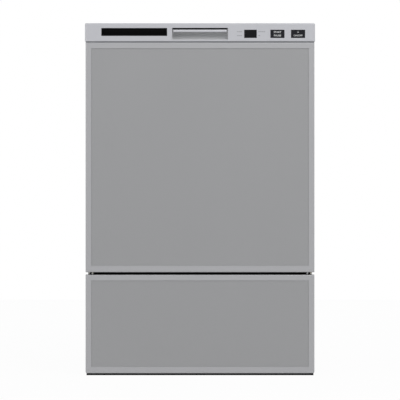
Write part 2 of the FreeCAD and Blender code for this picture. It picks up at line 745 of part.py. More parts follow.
def make_tub():
    """Stainless wash chamber, open in front, with its mouth flange and the float's guide."""
    tub = Piece("wash_tub")
    tub.pad("XZ", case_front, tub_rear,
            Rounded(-tub_half, tub_half, tub_low, tub_high, d.tub_corner + d.tub_wall))
    tub.pad("XZ", case_front, case_front + d.tub_wall,
            rect(-case_inner, case_inner, tub_low - d.flange_drop, tub_high + d.flange_rise))
    tub.cut("XZ", case_front, tub_back,
            Rounded(-tub_inner, tub_inner, tub_floor, tub_roof, d.tub_corner))
    notch = [rect(*side_span(side, arm_near - d.sheet, case_inner), tub_low - d.flange_drop, tub_floor)
             for side in (-1, 1)]
    tub.cut("XZ", case_front, case_front + d.tub_wall, *notch)
    guide_low = tub_low - d.float_guide
    tub.pad("XY", guide_low, tub_low, Disc(d.float_side, float_y, d.boss_radius))
    tub.cut("XY", tub_low, tub_floor, Disc(0, -d.sump_shift, d.mouth_radius),
            Disc(-d.heater_radius, 0, d.heater_tube + d.fit_gap),
            Disc(d.heater_radius, 0, d.heater_tube + d.fit_gap),
            Disc(d.fill_place, d.fill_turn, d.fill_radius + d.fit_gap))
    tub.cut("XY", guide_low, tub_floor, Disc(d.float_side, float_y, d.float_stem + d.run_gap))
    mouth_low = d.duct_top - d.duct_wall - d.duct_mouth
    tub.cut("XZ", tub_back, tub_rear,
            rect(-d.fan_place - d.duct_width / 2 + d.duct_wall,
                 -d.fan_place + d.duct_width / 2 - d.duct_wall, mouth_low, d.duct_top - d.duct_wall))
    tub.done()


def make_door_gasket():
    """Rubber seal on the tub's flange, round the mouth."""
    seal = Piece("door_gasket")
    edge = tub_inner + d.seal_edge
    low = tub_floor - d.seal_edge
    high = tub_roof + d.seal_edge
    width = d.seal_width
    seal.pad("XZ", liner_back + d.fit_gap, case_front,
             Rounded(-edge - width, edge + width, low - width, high + width, d.tub_corner + width),
             Rounded(-edge, edge, low, high, d.tub_corner))
    seal.done()


def make_front_frame(label, low, high, depth):
    """Picture frame of one front, hollow behind its face."""
    frame = Piece(label)
    back = front + depth
    outer = rect(-frame_half, frame_half, low, high)
    frame.pad("XZ", front, back, outer)
    if label == "lower_frame":
        frame.soften(d.base_corner, edges_along("Y", lambda c: near(c.z, low)))
    at_face = front.value + 0.01
    frame.soften(d.frame_round * 0.45, lambda edge: edge.BoundBox.YMax < at_face)
    wall = d.frame_wall
    frame.cut("XZ", front + d.frame_front, back,
              rect(-frame_half + wall, frame_half - wall, low + wall, high - wall))
    frame.cut("XZ", front, front + d.frame_front,
              rect(-frame_inner, frame_inner, low + d.border_bottom, high - d.border_top))
    return frame


def make_front_panel(label, low, high):
    """Flat sheet set a little behind the face of its frame."""
    panel = Piece(label)
    panel.pad("XZ", front + d.panel_step, front + d.panel_step + d.panel_sheet,
              rect(-frame_inner, frame_inner, low + d.border_bottom, high - d.border_top))
    panel.done()


def make_lower_front():
    make_front_frame("lower_frame", lower_low, lower_high, d.lower_depth).done()
    make_front_panel("lower_panel", lower_low, lower_high)


def make_feet():
    """Four levelling feet, each a pad with a stem in the tray's boss."""
    for y, end_name in zip(foot_y, ("front", "rear")):
        for x, side_name in ((-foot_x, "left"), (foot_x, "right")):
            pad = rod("Z", 0, d.foot_pad, x, y, d.foot_radius)
            stem = rod("Z", 0, d.foot_length, x, y, d.foot_stem)
            node(fused(pad, stem), "foot_%s_%s" % (end_name, side_name))


def make_case_screws():
    """Screws that hold the back cover."""
    heads = []
    for side in (-1, 1):
        for share in (0.1, 0.35, 0.65, 0.9):
            x = side * (case_inner - d.case_screw_radius - d.sheet)
            heads.append(rod("Y", back_face, back_face + d.screw_head, x, top * share,
                             d.case_screw_radius))
    node(group(*heads), "case_screws")


# ---- door hinges -----------------------------------------------------------------------------

arm_far = frame_inner
arm_near = frame_inner - d.hinge_plate
spring_x = frame_inner - d.hinge_plate / 2
lever_front = axis_y + d.arm_back - d.panel_step * 3
spring_y = lever_front + d.lever_width / 2
lever_end = axis_z - d.lever_drop


def make_hinge_brackets():
    """Two plates on the case sides; each carries a riveted pin for the door."""
    plates = []
    for side in (-1, 1):
        x = side_span(side, case_inner - d.hinge_plate, case_inner)
        eye = rod("X", *x, axis_y, axis_z, d.hinge_eye)
        neck = block(x, (axis_y, axis_y + d.bracket_step), (axis_z - d.hinge_eye, axis_z + d.hinge_eye))
        plate = block(x, (axis_y + d.bracket_step, axis_y + d.bracket_reach),
                      (axis_z - d.bracket_half, axis_z + d.bracket_half))
        pin = rod("X", *side_span(side, arm_near - d.fit_gap, case_inner), axis_y, axis_z, d.hinge_pin)
        head = rod("X", *side_span(side, arm_near - d.fit_gap - d.frame_wall, arm_near - d.fit_gap),
                   axis_y, axis_z, d.hinge_eye)
        plates.append(fused(eye, neck, plate, pin, head))
    node(group(*plates), "hinge_brackets")


def make_hinge_arms():
    """Two arms inside the door's flanks, each with a lever down to its spring."""
    arms = []
    for side in (-1, 1):
        arm = Piece("hinge_arm_right" if side > 0 else "hinge_arm_left")
        low, high = side_span(side, arm_near, arm_far)
        nose = axis_y - d.hinge_eye
        arm_back = axis_y + d.arm_back
        lever_back = lever_front + d.lever_width
        arm.pad("YZ", low, high, [
            (nose, axis_z - d.hinge_eye), (lever_front, axis_z - d.hinge_eye),
            (lever_front, lever_end), (lever_back, lever_end), (lever_back, axis_z + d.hinge_rise),
            (arm_back, axis_z + d.hinge_pocket), (arm_back, axis_z + d.arm_rise),
            (nose, axis_z + d.arm_rise)])
        arm.cut("YZ", low, high, Disc(axis_y, axis_z, d.hinge_pin + d.run_gap))
        arms.append(arm.body)
    node(group(*arms), "hinge_arms")


def make_door_springs():
    """Upright balance springs between the tray's posts and the hinge arms' levers."""
    springs = []
    low = d.spring_foot + d.fit_gap + d.spring_wire
    length = lever_end - d.fit_gap - d.spring_wire - low
    for side in (-1, 1):
        helix = doc.addObject("Part::Helix", "coil_line")
        bind(helix, "Radius", d.spring_radius)
        bind(helix, "Height", length)
        bind(helix, "Pitch", length / d.spring_turns)
        section = doc.addObject("Part::Circle", "wire_section")
        section.Placement = FreeCAD.Placement(FreeCAD.Vector(), AXIS_TURN["Y"])
        bind(section, "Radius", d.spring_wire)
        bind(section, "Placement.Base.x", d.spring_radius)
        coil = doc.addObject("Part::Sweep", "coil")
        coil.Sections = [section]
        coil.Spine = (helix, ["Edge%d" % (turn + 1) for turn in range(coil_edges(helix))])
        coil.Solid = True
        coil.Frenet = True
        bind(coil, "Placement.Base.x", side * spring_x)
        bind(coil, "Placement.Base.y", spring_y)
        bind(coil, "Placement.Base.z", low)
        springs.append(coil)
    node(group(*springs), "door_springs")


def coil_edges(helix):
    helix.recompute()
    return len(helix.Shape.Edges)


# ---- door ------------------------------------------------------------------------------------


def make_door_shell():
    """Front frame with its bottom corners opened for the hinges, and the flat panel."""
    frame = make_front_frame("door_frame", door_low, door_high, d.door_depth)
    pockets = []
    for side in (-1, 1):
        x = side_span(side, arm_near - d.hinge_plate, frame_half - d.frame_wall)
        pockets.append(rect(*x, front + d.frame_front, door_back))
    frame.cut("XY", door_low, door_low + d.frame_wall, *pockets)
    frame.done()
    make_front_panel("door_panel", door_low, door_high)


def make_door_liner():
    """Inner skin of the door, pressed in towards the tub."""
    liner = Piece("door_liner")
    liner_half = half - d.liner_inset
    notch_x = arm_near - d.sheet
    notch_z = axis_z + d.hinge_pocket
    low = door_low + d.liner_low
    high = top - d.liner_top_drop
    liner.pad("XZ", door_back, liner_back, [
        (-liner_half, notch_z), (-notch_x, notch_z), (-notch_x, low), (notch_x, low),
        (notch_x, notch_z), (liner_half, notch_z), (liner_half, high), (-liner_half, high)])
    plug_half = tub_inner - d.plug_margin
    plug_low = tub_floor + d.plug_margin
    plug_high = tub_roof - d.plug_margin
    liner.pad("XZ", liner_back, plug_face,
              Rounded(-plug_half, plug_half, plug_low, plug_high, d.tub_corner))
    sheet = d.sheet
    liner.cut("XZ", door_back, plug_face - sheet,
              Rounded(-plug_half + sheet, plug_half - sheet, plug_low + sheet, plug_high - sheet,
                      d.tub_corner - sheet))
    liner.cut("XZ", plug_face - sheet, plug_face,
              rect(-d.cup_left, -d.cup_left + d.cup_width, d.cup_low, d.cup_low + d.cup_height))
    slot = d.pawl_half + d.ear_width + d.sheet * 2
    liner.cut("XZ", door_back, liner_back, rect(-slot, slot, pawl_z - d.pawl_thick * 3,
                                                pawl_z + d.pawl_thick * 1.5))
    liner.done()


def make_door_screws():
    """Screws along the liner's edges, outside the seal."""
    heads = []
    place = half - d.liner_inset - d.screw_radius - d.fit_gap
    for side in (-1, 1):
        for share in (0.36, 0.5, 0.64, 0.78, 0.92):
            heads.append(rod("Y", liner_back, liner_back + d.screw_head, side * place, top * share,
                             d.screw_radius))
    node(group(*heads), "door_screws")


def make_fascia():
    """Control fascia: a shell across the top of the door with its openings."""
    fascia = Piece("control_fascia")
    fascia.pad("XZ", front, door_back, rect(-half, half, fascia_low, top))
    face = front.value + 0.01
    fascia.soften(d.fascia_end_round, edges_along("Z", lambda c: c.y < face))
    fascia.soften(d.fascia_round * 0.6, lambda edge: edge.BoundBox.ZMin > top.value - 0.01
                  and edge.BoundBox.YMax < front.value + d.fascia_end_round.value + 0.01)
    wall = d.fascia_wall
    fascia.cut("XZ", front + wall, door_back,
               rect(-half + wall, half - wall, fascia_low + wall * 0.9, top - wall))
    recess = d.recess_width / 2
    key_z = (fascia_low + d.key_low, fascia_low + d.key_low + d.key_height)
    fascia.cut("XZ", front, front + wall,
               rect(-d.vent_left, -d.vent_left + d.vent_width,
                    fascia_low + d.vent_low, fascia_low + d.vent_low + d.vent_height),
               rect(-recess, recess, recess_low, recess_high),
               rect(d.display_left, d.display_left + d.display_width, *key_z),
               rect(start_left, start_left + d.key_width, *key_z),
               rect(power_left, power_left + d.key_width, *key_z))
    lugs = []
    for side in (-1, 1):
        low, high = side_span(side, recess + d.lever_side, recess + d.lever_side + d.lug_width)
        lugs.append((low, high))
        fascia.pad("YZ", low, high, rect(front + wall, lever_pin_y + d.lever_pin * 2.2,
                                         lever_pin_z - d.lever_pin * 2.2, top - wall))
    low, high = lugs[0][0], lugs[1][1]
    fascia.cut("YZ", low, high, Disc(lever_pin_y, lever_pin_z, d.lever_pin + d.run_gap))
    fascia.done()


def make_vent_grille():
    """Black louvred insert."""
    grille = Piece("vent_grille")
    left, right = -d.vent_left, -d.vent_left + d.vent_width
    low, high = fascia_low + d.vent_low, fascia_low + d.vent_low + d.vent_height
    face = front + d.panel_step / 2
    back = front + d.vent_depth
    rim = d.vent_rim
    grille.pad("XZ", face, back, rect(left, right, low, high))
    grille.cut("XZ", face, back - rim, rect(left + rim, right - rim, low + rim, high - rim))
    slat_low = low + rim + d.slat_pitch - d.slat_height
    slat = grille.pad("XZ", face + rim / 2, back - rim,
                      rect(left + rim, right - rim, slat_low, slat_low + d.slat_height))
    grille.row(slat, "Z", d.slat_pitch, 5)
    grille.done()


def make_handle_cup():
    """Scooped hand space with two ears behind it for the latch pawl."""
    x = (-d.recess_width / 2, d.recess_width / 2)
    back = front + d.recess_depth
    outer = block(x, (front + d.fit_gap, back), (recess_low, recess_high))
    wall = d.cup_wall
    inner_x = (x[0] + wall, x[1] - wall)
    scoop = rod("X", *inner_x, front + d.frame_front, recess_low + d.scoop_rise, d.scoop_radius)
    room = block(inner_x, (front, back - wall), (recess_low, recess_high - wall))
    hollow = doc.addObject("Part::Common", "scoop")
    hollow.Base = scoop
    hollow.Tool = room
    lever_room = block(inner_x, (front, front + d.lever_pin_back + d.lever_pin),
                       (recess_low + d.scoop_rise, recess_high + 1))
    tail_room = block((-d.pawl_half - d.cup_wall, d.pawl_half + d.cup_wall),
                      (front + d.lever_pin_back, back), (recess_high - d.pawl_thick, recess_high + 1))
    cup = carved(outer, hollow, lever_room, tail_room)
    parts = [cup]
    for side in (-1, 1):
        ear_x = side_span(side, d.pawl_half + d.cup_wall, d.pawl_half + d.cup_wall + d.ear_width)
        ear = block(ear_x, (back - wall, pawl_y + d.pawl_pin * 2),
                    (recess_high - d.pawl_thick * 3, pawl_z + d.pawl_pin * 2))
        parts.append(ear)
    bore = rod("X", -d.pawl_half * 4, d.pawl_half * 4, pawl_y, pawl_z, d.pawl_pin + d.run_gap)
    node(carved(fused(*parts), bore), "handle_cup")


def make_handle_lever():
    """Finger bar on a web that hangs from a rod behind the fascia, with a tail for the pawl."""
    half_bar = d.recess_width / 2 - d.cup_wall - d.lever_side
    x = (-half_bar, half_bar)
    bar_low = recess_low + d.lever_low
    face = front + d.panel_step / 2
    bar = block(x, (face, face + d.lever_depth), (bar_low, bar_low + d.lever_height))
    web_y = (face + d.lever_depth, face + d.lever_depth + d.lever_web)
    web = block(x, web_y, (bar_low, lever_pin_z + d.lever_pin))
    bridge = block(x, (web_y[1], lever_pin_y), (lever_pin_z - d.lever_pin / 2, lever_pin_z + d.lever_pin))
    reach = d.recess_width / 2 + d.lever_side + d.lug_width
    pivot = rod("X", -reach, reach, lever_pin_y, lever_pin_z, d.lever_pin)
    tail = block((-d.pawl_half, d.pawl_half), (lever_pin_y, lever_pin_y + d.hinge_rise - 1),
                 (tail_top + d.fit_gap, lever_pin_z))
    node(fused(bar, web, bridge, pivot, tail), "handle_lever")


def make_latch_pawl():
    """Hook that holds the door: weighted tail in front, pivot in the ears, hook behind the bar."""
    x = (-d.pawl_half, d.pawl_half)
    hook_front = case_front + d.sheet + d.strike_sheet + d.hook_air
    hook_back = hook_front + d.hook_length
    arm_z = (pawl_z - d.pawl_thick / 2, pawl_z + d.pawl_thick / 2)
    slim = (-d.hook_half, d.hook_half)
    tail = block(x, (lever_pin_y + d.lever_pin + d.run_gap * 3, pawl_y), arm_z)
    weight = block(x, (lever_pin_y + d.hinge_rise, pawl_y - d.pawl_pin * 7),
                   (arm_z[0], pawl_z + d.pawl_pin * 2))
    arm = block(slim, (pawl_y, hook_back), (arm_z[0], arm_z[0] + d.arm_thick))
    hook = block(slim, (hook_front, hook_back), (arm_z[0] - d.hook_drop, arm_z[0] + d.arm_thick))
    reach = d.pawl_half + d.cup_wall + d.ear_width
    pin = rod("X", -reach, reach, pawl_y, pawl_z, d.pawl_pin)
    eye = rod("X", *x, pawl_y, pawl_z, d.pawl_pin * 2)
    node(fused(tail, weight, arm, hook, pin, eye), "latch_pawl")


def make_latch_strike():
    """Plate with a window, across the notch in the top cover's fold; the hook drops behind its bar."""
    y = (case_front + d.sheet, case_front + d.sheet + d.strike_sheet)
    plate = block((-d.strike_half, d.strike_half), y, (strike_low, roof_low))
    window = block((-d.strike_window, d.strike_window), y, (strike_bar_top, roof_low - d.sheet / 2))
    node(carved(plate, window), "latch_strike")


def make_keys():
    """Display window and two keys; each key has a hidden lip behind the fascia's face."""
    z = (fascia_low + d.key_low, fascia_low + d.key_low + d.key_height)
    window = block((d.display_left, d.display_left + d.display_width),
                   (front + d.fit_gap, front + d.fit_gap + d.window_depth), z)
    node(window, "display_window")
    for label, left in (("start_key", start_left), ("power_key", power_left)):
        gap, lip = d.fit_gap, d.key_lip
        right = left + d.key_width
        cap = block((left + gap, right - gap), (front, front + d.key_depth), (z[0] + gap, z[1] - gap))
        lip_y = front + d.fascia_wall + gap
        edge = block((left - lip, right + lip), (lip_y, lip_y + lip), (z[0] - lip, z[1] + lip))
        node(fused(cap, edge), label)


def make_control_board():
    """Circuit board on four posts behind the keys, with its larger parts."""
    edge = d.board_edge
    left, right = d.display_left - edge * 2, power_left + d.key_width + edge * 2
    z = (fascia_low + d.fascia_wall, top - d.fascia_wall * 2)
    y = front + d.board_back
    board = block((left, right), (y, y + d.board_sheet), z)
    parts = [board]
    for x in (left + edge, right - edge):
        for height in (z[0] + edge, z[1] - edge):
            parts.append(rod("Y", front + d.fascia_wall, y, x, height, edge / 2))
    chips = [(0.2, 14, 8), (0.5, 18, 6), (0.8, 10, 12)]
    for share, width, height in chips:
        x = left + (right - left) * share
        parts.append(block((x, x + width), (y + d.board_sheet, y + d.board_sheet * 3),
                           (z[0] + edge * 2, z[0] + edge * 2 + height)))
    node(fused(*parts), "control_board")


def make_dispenser():
    """Detergent cup in the liner with its face plate and rinse aid cap, and the sliding lid."""
    left, right = -d.cup_left, -d.cup_left + d.cup_width
    low, high = d.cup_low, d.cup_low + d.cup_height
    edge, wall = d.flange_edge, d.cup_wall
    plate_y = (plug_face, plug_face + d.cup_flange)
    plate = block((left - edge, d.flange_right), plate_y, (low - edge, high + edge))
    cup = block((left, right), (plug_face - d.cup_depth, plug_face), (low, high))
    cap = rod("Y", plate_y[1], plate_y[1] + d.lid_sheet, d.cap_place, (low + high) / 2, d.cap_radius)
    hollow = block((left + wall, right - wall), (plug_face - d.cup_depth + wall, plate_y[1]),
                   (low + wall, high - wall))
    node(carved(fused(plate, cup, cap), hollow), "dispenser_cup")
    lid_y = (plate_y[1] + d.fit_gap, plate_y[1] + d.fit_gap + d.lid_sheet)
    lid = block((left, right), lid_y, (low, high))
    grip = block((right - wall * 2, right - wall), (lid_y[1], lid_y[1] + wall / 2), (low, high))
    node(fused(lid, grip), "dispenser_lid")


# ---- racks -----------------------------------------------------------------------------------

rail_x = tub_inner - d.rail_inset
rail_front = case_front + d.rail_end
rail_back = tub_back - d.rail_end
runner_x = tub_inner - d.rail_web - d.runner_gap - d.runner_width
runner_z = (rail_low + d.rail_lip + d.runner_gap, rail_low + d.rail_height - d.rail_lip - d.runner_gap)
wheel_z = ledge_top + d.fit_gap + d.wheel_radius


def make_rack_rails():
    """Upper channels and lower ledges on the tub's walls."""
    rails = []
    for side in (-1, 1):
        x = side_span(side, rail_x, tub_inner)
        groove_x = side_span(side, rail_x, tub_inner - d.rail_web)
        outer = block(x, (rail_front, rail_back), (rail_low, rail_low + d.rail_height))
        groove = block(groove_x, (rail_front, rail_back),
                       (rail_low + d.rail_lip, rail_low + d.rail_height - d.rail_lip))
        rails.append(carved(outer, groove))
        rails.append(block(side_span(side, tub_inner - d.ledge_width, tub_inner), (rail_front, rail_back),
                           (ledge_top - d.ledge_sheet, ledge_top)))
    node(group(*rails), "rack_rails")


def make_rack_runners():
    """Bars that slide in the upper channels and carry the upper rack."""
    bars = [block(side_span(side, runner_x, runner_x + d.runner_width),
                  (rail_front + d.fit_gap, rail_back - d.fit_gap), runner_z) for side in (-1, 1)]
    node(group(*bars), "rack_runners")


def rack_basket(side_half, floor_low, wall_height, tine_rows):
    """A wire floor, four wire sides that stand on it, and strips of tines."""
    wire = d.rack_wire
    floor_top = floor_low + wire
    wall_top = floor_top + wall_height
    parts = [lattice("XY", (floor_low, floor_top), (-side_half, side_half), (rack_front, rack_back),
                     wire, d.floor_bars, d.floor_bars)]
    for place in (rack_front, rack_back - wire):
        parts.append(lattice("XZ", (place, place + wire), (-side_half, side_half),
                             (floor_top, wall_top), wire, d.wall_bars, 1))
    for side in (-1, 1):
        parts.append(lattice("YZ", side_span(side, side_half - wire, side_half),
                             (rack_front + wire, rack_back - wire), (floor_top, wall_top),
                             wire, d.wall_bars, 1))
    for axis, x, y in tine_rows:
        parts.append(tine_strip(axis, x, y, floor_top))
    return parts


def tine_strip(axis, x, y, low):
    """Upright tines on one wire that lies on the rack's floor."""
    wire = d.rack_wire
    length = d.tine_pitch * (d.tine_count - 1) + wire
    flat = (low, low + wire)
    along = (block((x, x + wire), (y, y + length), flat) if axis == "Y"
             else block((x, x + length), (y, y + wire), flat))
    tines = []
    for place in range(int(d.tine_count.value)):
        step = d.tine_pitch * place
        start = (x, y + step) if axis == "Y" else (x + step, y)
        tines.append(block((start[0], start[0] + wire), (start[1], start[1] + wire),
                           (low, low + d.tine_height)))
    return fused(along, *tines)


upper_half = tub_inner - d.upper_side
lower_half = tub_inner - d.lower_side
wheel_x = lower_half + d.wheel_clear
upper_rim = upper_floor + d.rack_wire + d.upper_wall
arm_hang = upper_arm_low + d.arm_height


def make_upper_rack():
    """Upper wire rack with its hangers, which rest on the runners."""
    rows = [("Y", -upper_half / 3, -d.hanger_front), ("Y", upper_half / 6, -d.hanger_front),
            ("Y", upper_half * 0.62, -d.hanger_front)]
    parts = rack_basket(upper_half, upper_floor, d.upper_wall, rows)
    for side in (-1, 1):
        for place in (-d.hanger_front, d.hanger_rear):
            y = (place - d.hanger_half, place + d.hanger_half)
            x = side_span(side, upper_half, runner_x - d.fit_gap)
            parts.append(block(x, y, (rail_low, upper_rim)))
    node(group(*parts), "upper_rack")


def make_upper_feed_pipe():
    """Water pipe under the upper rack; the upper spray arm turns on its stub."""
    pipe_radius = d.neck_radius - d.cup_wall
    pipe_z = upper_floor - pipe_radius
    pipe = rod("Y", 0, rack_back, 0, pipe_z, pipe_radius)
    stub_low = upper_arm_low - d.fit_gap * 2 - d.hub_rise
    stub = rod("Z", stub_low, pipe_z, 0, 0, d.neck_radius)
    collar = rod("Z", arm_hang + d.hub_rise + d.fit_gap, pipe_z, 0, 0, d.riser_radius)
    nut = rod("Z", stub_low, upper_arm_low - d.fit_gap, 0, 0, d.riser_radius)
    node(fused(pipe, stub, collar, nut), "upper_feed_pipe")


def make_cup_shelf():
    """Wire shelf that rests level on the left rim and folds up about its rod."""
    wire = d.rack_wire
    rod_x = -upper_half + wire / 2 + d.fit_gap
    rod_z = upper_rim + d.fit_gap + d.shelf_rod
    mesh = lattice("XY", (rod_z - wire / 2, rod_z + wire / 2), (rod_x, rod_x + d.shelf_width),
                   (-d.shelf_front, d.shelf_rear), wire, 2, d.shelf_bars)
    hinge = rod("Y", -d.shelf_front, d.shelf_rear, rod_x, rod_z, d.shelf_rod)
    node(fused(mesh, hinge), "cup_shelf")


def make_lower_rack():
    """Lower wire rack with axle stubs for its wheels."""
    tine_left = -d.fold_left
    rows = [("X", tine_left, -d.riser_place), ("X", tine_left, -d.riser_place - d.tine_pitch * 3),
            ("X", tine_left, d.riser_place * 2)]
    parts = rack_basket(lower_half, lower_floor, d.lower_wall, rows)
    for side in (-1, 1):
        for y in (-d.wheel_place, d.wheel_place):
            x = side_span(side, lower_half - d.rack_wire, lower_half + d.hub_rise)
            leg = block(x, (y - d.axle_radius * 2, y + d.axle_radius * 2),
                        (wheel_z - d.axle_radius * 1.5, lower_floor))
            stub = rod("X", *side_span(side, lower_half, wheel_x + d.wheel_width - 1), y, wheel_z,
                       d.axle_radius)
            parts.append(fused(leg, stub))
    node(group(*parts), "lower_rack")


def make_rack_wheels():
    """Front and rear pairs of wheels on the lower rack's stubs."""
    for place, name in ((-d.wheel_place, "front"), (d.wheel_place, "rear")):
        pair = []
        for side in (-1, 1):
            x = side_span(side, wheel_x, wheel_x + d.wheel_width)
            tyre = rod("X", *x, place, wheel_z, d.wheel_radius)
            bore = rod("X", *x, place, wheel_z, d.axle_radius + d.run_gap)
            pair.append(carved(tyre, bore))
        node(group(*pair), "rack_wheels_" + name)


def make_folding_tines():
    """Row of tines on one rod that folds back onto the rack's floor."""
    wire = d.rack_wire
    rod_z = lower_floor + wire + d.fit_gap + d.fold_rod
    left, right = -d.fold_left, -d.fold_left + d.fold_length
    hinge = rod("X", left, right, d.fold_place, rod_z, d.fold_rod)
    parts = [hinge]
    for step in range(int(d.tine_count.value)):
        x = left + d.tine_pitch * step + wire
        parts.append(rod("Z", rod_z, rod_z + d.fold_height, x, d.fold_place, wire / 2))
    node(fused(*parts), "folding_tines")


def make_cutlery_basket():
    """Three-pocket basket on the lower rack's floor."""
    basket = Piece("cutlery_basket")
    left, right = d.basket_left, d.basket_left + d.basket_width
    low = rack_front + d.rack_wire + d.basket_front
    high = low + d.basket_depth
    floor = lower_floor + d.rack_wire
    wall = d.basket_wall
    basket.pad("XY", floor, floor + d.basket_height, rect(left, right, low, high))
    pocket = (d.basket_width - wall * 4) / 3
    pockets = []
    for step in range(3):
        x = left + wall + (pocket + wall) * step
        pockets.append(rect(x, x + pocket, low + wall, high - wall))
    basket.cut("XY", floor + wall, floor + d.basket_height, *pockets)
    basket.done()


# ---- water side ------------------------------------------------------------------------------

sump_y = -d.sump_shift
sump_low = tub_low - d.sump_depth
pump_stub = d.pump_radius / 3
drain_stub = d.drain_radius / 2
drain_right = d.pump_left
pump_right = d.pump_left + d.pump_width


def make_sump():
    """Bowl under the tub with stubs for both pumps."""
    wall = d.sump_wall
    outer = fused(rod("Z", sump_low, tub_low, 0, sump_y, d.sump_radius),
                  rod("Z", d.well_low, sump_low + wall, 0, sump_y, d.well_radius),
                  rod("X", d.well_radius - wall * 2, d.pump_left, sump_y, d.pump_height, pump_stub),
                  rod("X", -drain_right, -d.well_radius + wall * 2, sump_y, d.drain_height, drain_stub))
    inner = [rod("Z", sump_low + wall, tub_low, 0, sump_y, d.sump_radius - wall),
             rod("Z", d.well_low + wall, sump_low + wall, 0, sump_y, d.well_radius - wall),
             rod("X", 0, d.pump_left, sump_y, d.pump_height, pump_stub - wall),
             rod("X", -drain_right, 0, sump_y, d.drain_height, drain_stub - wall)]
    node(carved(outer, *inner), "sump")


def make_filters():
    """Flat plate over the sump and the cup that hangs in it."""
    plate_top = tub_floor + d.sheet
    plate = rod("Z", tub_floor, plate_top, 0, sump_y, d.filter_radius)
    riser_hole = rod("Z", tub_floor, plate_top, 0, d.riser_place, d.riser_radius + d.fit_gap)
    cup_hole = rod("Z", tub_floor, plate_top, 0, -d.residue_place, d.residue_radius + d.fit_gap)
    node(carved(plate, riser_hole, cup_hole), "filter_plate")
    cup_low = tub_low - d.residue_depth
    wall = d.cup_wall
    rim_top = plate_top + d.sheet
    cup = rod("Z", cup_low, rim_top, 0, -d.residue_place, d.residue_radius)
    rim = rod("Z", plate_top, rim_top, 0, -d.residue_place, d.residue_radius + wall * 2)
    hollow = rod("Z", cup_low + wall, rim_top, 0, -d.residue_place, d.residue_radius - wall)
    shell = carved(fused(cup, rim), hollow)
    handle = block((-d.residue_radius, d.residue_radius),
                   (-d.residue_place - wall, -d.residue_place + wall), (rim_top - d.hub_rise * 2, rim_top))
    node(fused(shell, handle), "residue_filter")


def make_spray_riser():
    """Standing pipe from the sump; the lower spray arm turns on its neck."""
    low = sump_low + d.sump_wall
    pipe = rod("Z", low, arm_low - d.fit_gap, 0, d.riser_place, d.riser_radius)
    nut_low = arm_low + d.arm_height + d.hub_rise + d.fit_gap
    neck = rod("Z", low, neck_top, 0, d.riser_place, d.neck_radius)
    nut = rod("Z", nut_low, neck_top, 0, d.riser_place, d.riser_radius)
    foot = rod("Z", low, low + d.sump_wall, 0, d.riser_place, d.riser_radius * 2)
    bore = rod("Z", low, nut_low, 0, d.riser_place, d.riser_bore)
    node(carved(fused(pipe, neck, nut, foot), bore), "spray_riser")


def make_spray_arm(label, y, low, reach):
    """Two tapered blades and a round hub that stands above them."""
    arm = Piece(label)
    high = low + d.arm_height
    arm.pad("XY", low, high, [(-reach, y - d.arm_tip), (0, y - d.arm_root), (reach, y - d.arm_tip),
                              (reach, y + d.arm_tip), (0, y + d.arm_root), (-reach, y + d.arm_tip)])
    arm.soften(d.arm_tip * 0.9, edges_along("Z", lambda c: near(abs(c.x), reach)))
    hub_top = high + d.hub_rise
    arm.pad("XY", low, hub_top, Disc(0, y, d.arm_hub))
    arm.cut("XY", low, hub_top, Disc(0, y, d.neck_radius + d.run_gap))
    arm.done()


def make_heater_ring():
    """Heating tube on the tub's floor, with its two ends going down through it."""
    ring_z = tub_floor + d.heater_rise
    ring = doc.addObject("Part::Torus", "heating_tube")
    bind(ring, "Radius1", d.heater_radius)
    bind(ring, "Radius2", d.heater_tube)
    bind(ring, "Placement.Base.z", ring_z)
    legs = [rod("Z", tub_low - d.heater_rise, ring_z, side * d.heater_radius, 0, d.heater_tube * 0.85)
            for side in (-1, 1)]
    nuts = [rod("Z", tub_low - d.heater_tube, tub_low, side * d.heater_radius, 0, d.heater_tube * 2)
            for side in (-1, 1)]
    node(fused(ring, *legs, *nuts), "heater_ring")


def make_wash_pump():
    """Volute beside the sump, its bladed wheel and the motor behind it."""
    wall = d.pump_wall
    z = d.pump_height
    volute = rod("X", d.pump_left, pump_right, sump_y, z, d.pump_radius)
    outlet_x = d.pump_left + d.pump_width / 2
    outlet_top = sump_low + pump_stub * 2
    rise = rod("Z", z, outlet_top, outlet_x, sump_y, pump_stub - wall)
    turn = ball(outlet_x, sump_y, outlet_top, pump_stub - wall)
    back = rod("X", d.sump_radius, outlet_x, sump_y, outlet_top, pump_stub - wall)
    hollow = rod("X", d.pump_left + wall, pump_right - wall, sump_y, z, d.pump_radius - wall)
    mouth = rod("X", d.pump_left, d.pump_left + wall, sump_y, z, pump_stub - wall)
    eye = rod("X", pump_right - wall, pump_right, sump_y, z, d.shaft_radius + d.run_gap)
    node(carved(fused(volute, rise, turn, back), hollow, mouth, eye), "wash_pump_housing")

    motor = rod("X", pump_right, pump_right + d.motor_length, sump_y, z, d.motor_radius)
    cap = rod("X", pump_right + d.motor_length, pump_right + d.motor_length + wall * 2, sump_y, z,
              d.motor_radius * 0.6)
    foot = block((pump_right + wall * 4, pump_right + d.motor_length - wall * 4),
                 (sump_y - d.motor_radius / 2, sump_y + d.motor_radius / 2),
                 (d.tray_floor + d.tray_wall, z))
    bore = rod("X", pump_right, pump_right + d.shaft_length, sump_y, z, d.shaft_radius + d.run_gap)
    node(carved(fused(motor, cap, foot), bore), "wash_motor")

    wheel = Piece("impeller_disc")
    near_x = pump_right - wall - d.fit_gap * 3 - d.impeller_back
    blade_x = near_x - d.blade_width
    wheel.pad("YZ", near_x, near_x + d.impeller_back, Disc(sump_y, z, d.impeller_radius))
    wheel.pad("YZ", blade_x, near_x, Disc(sump_y, z, d.shaft_radius * 2.5))
    wheel.pad("YZ", near_x, pump_right + d.shaft_length - d.fit_gap, Disc(sump_y, z, d.shaft_radius))
    node(fused(wheel.body, *blade_set(d.blade_count, blade_x, near_x)), "wash_impeller")


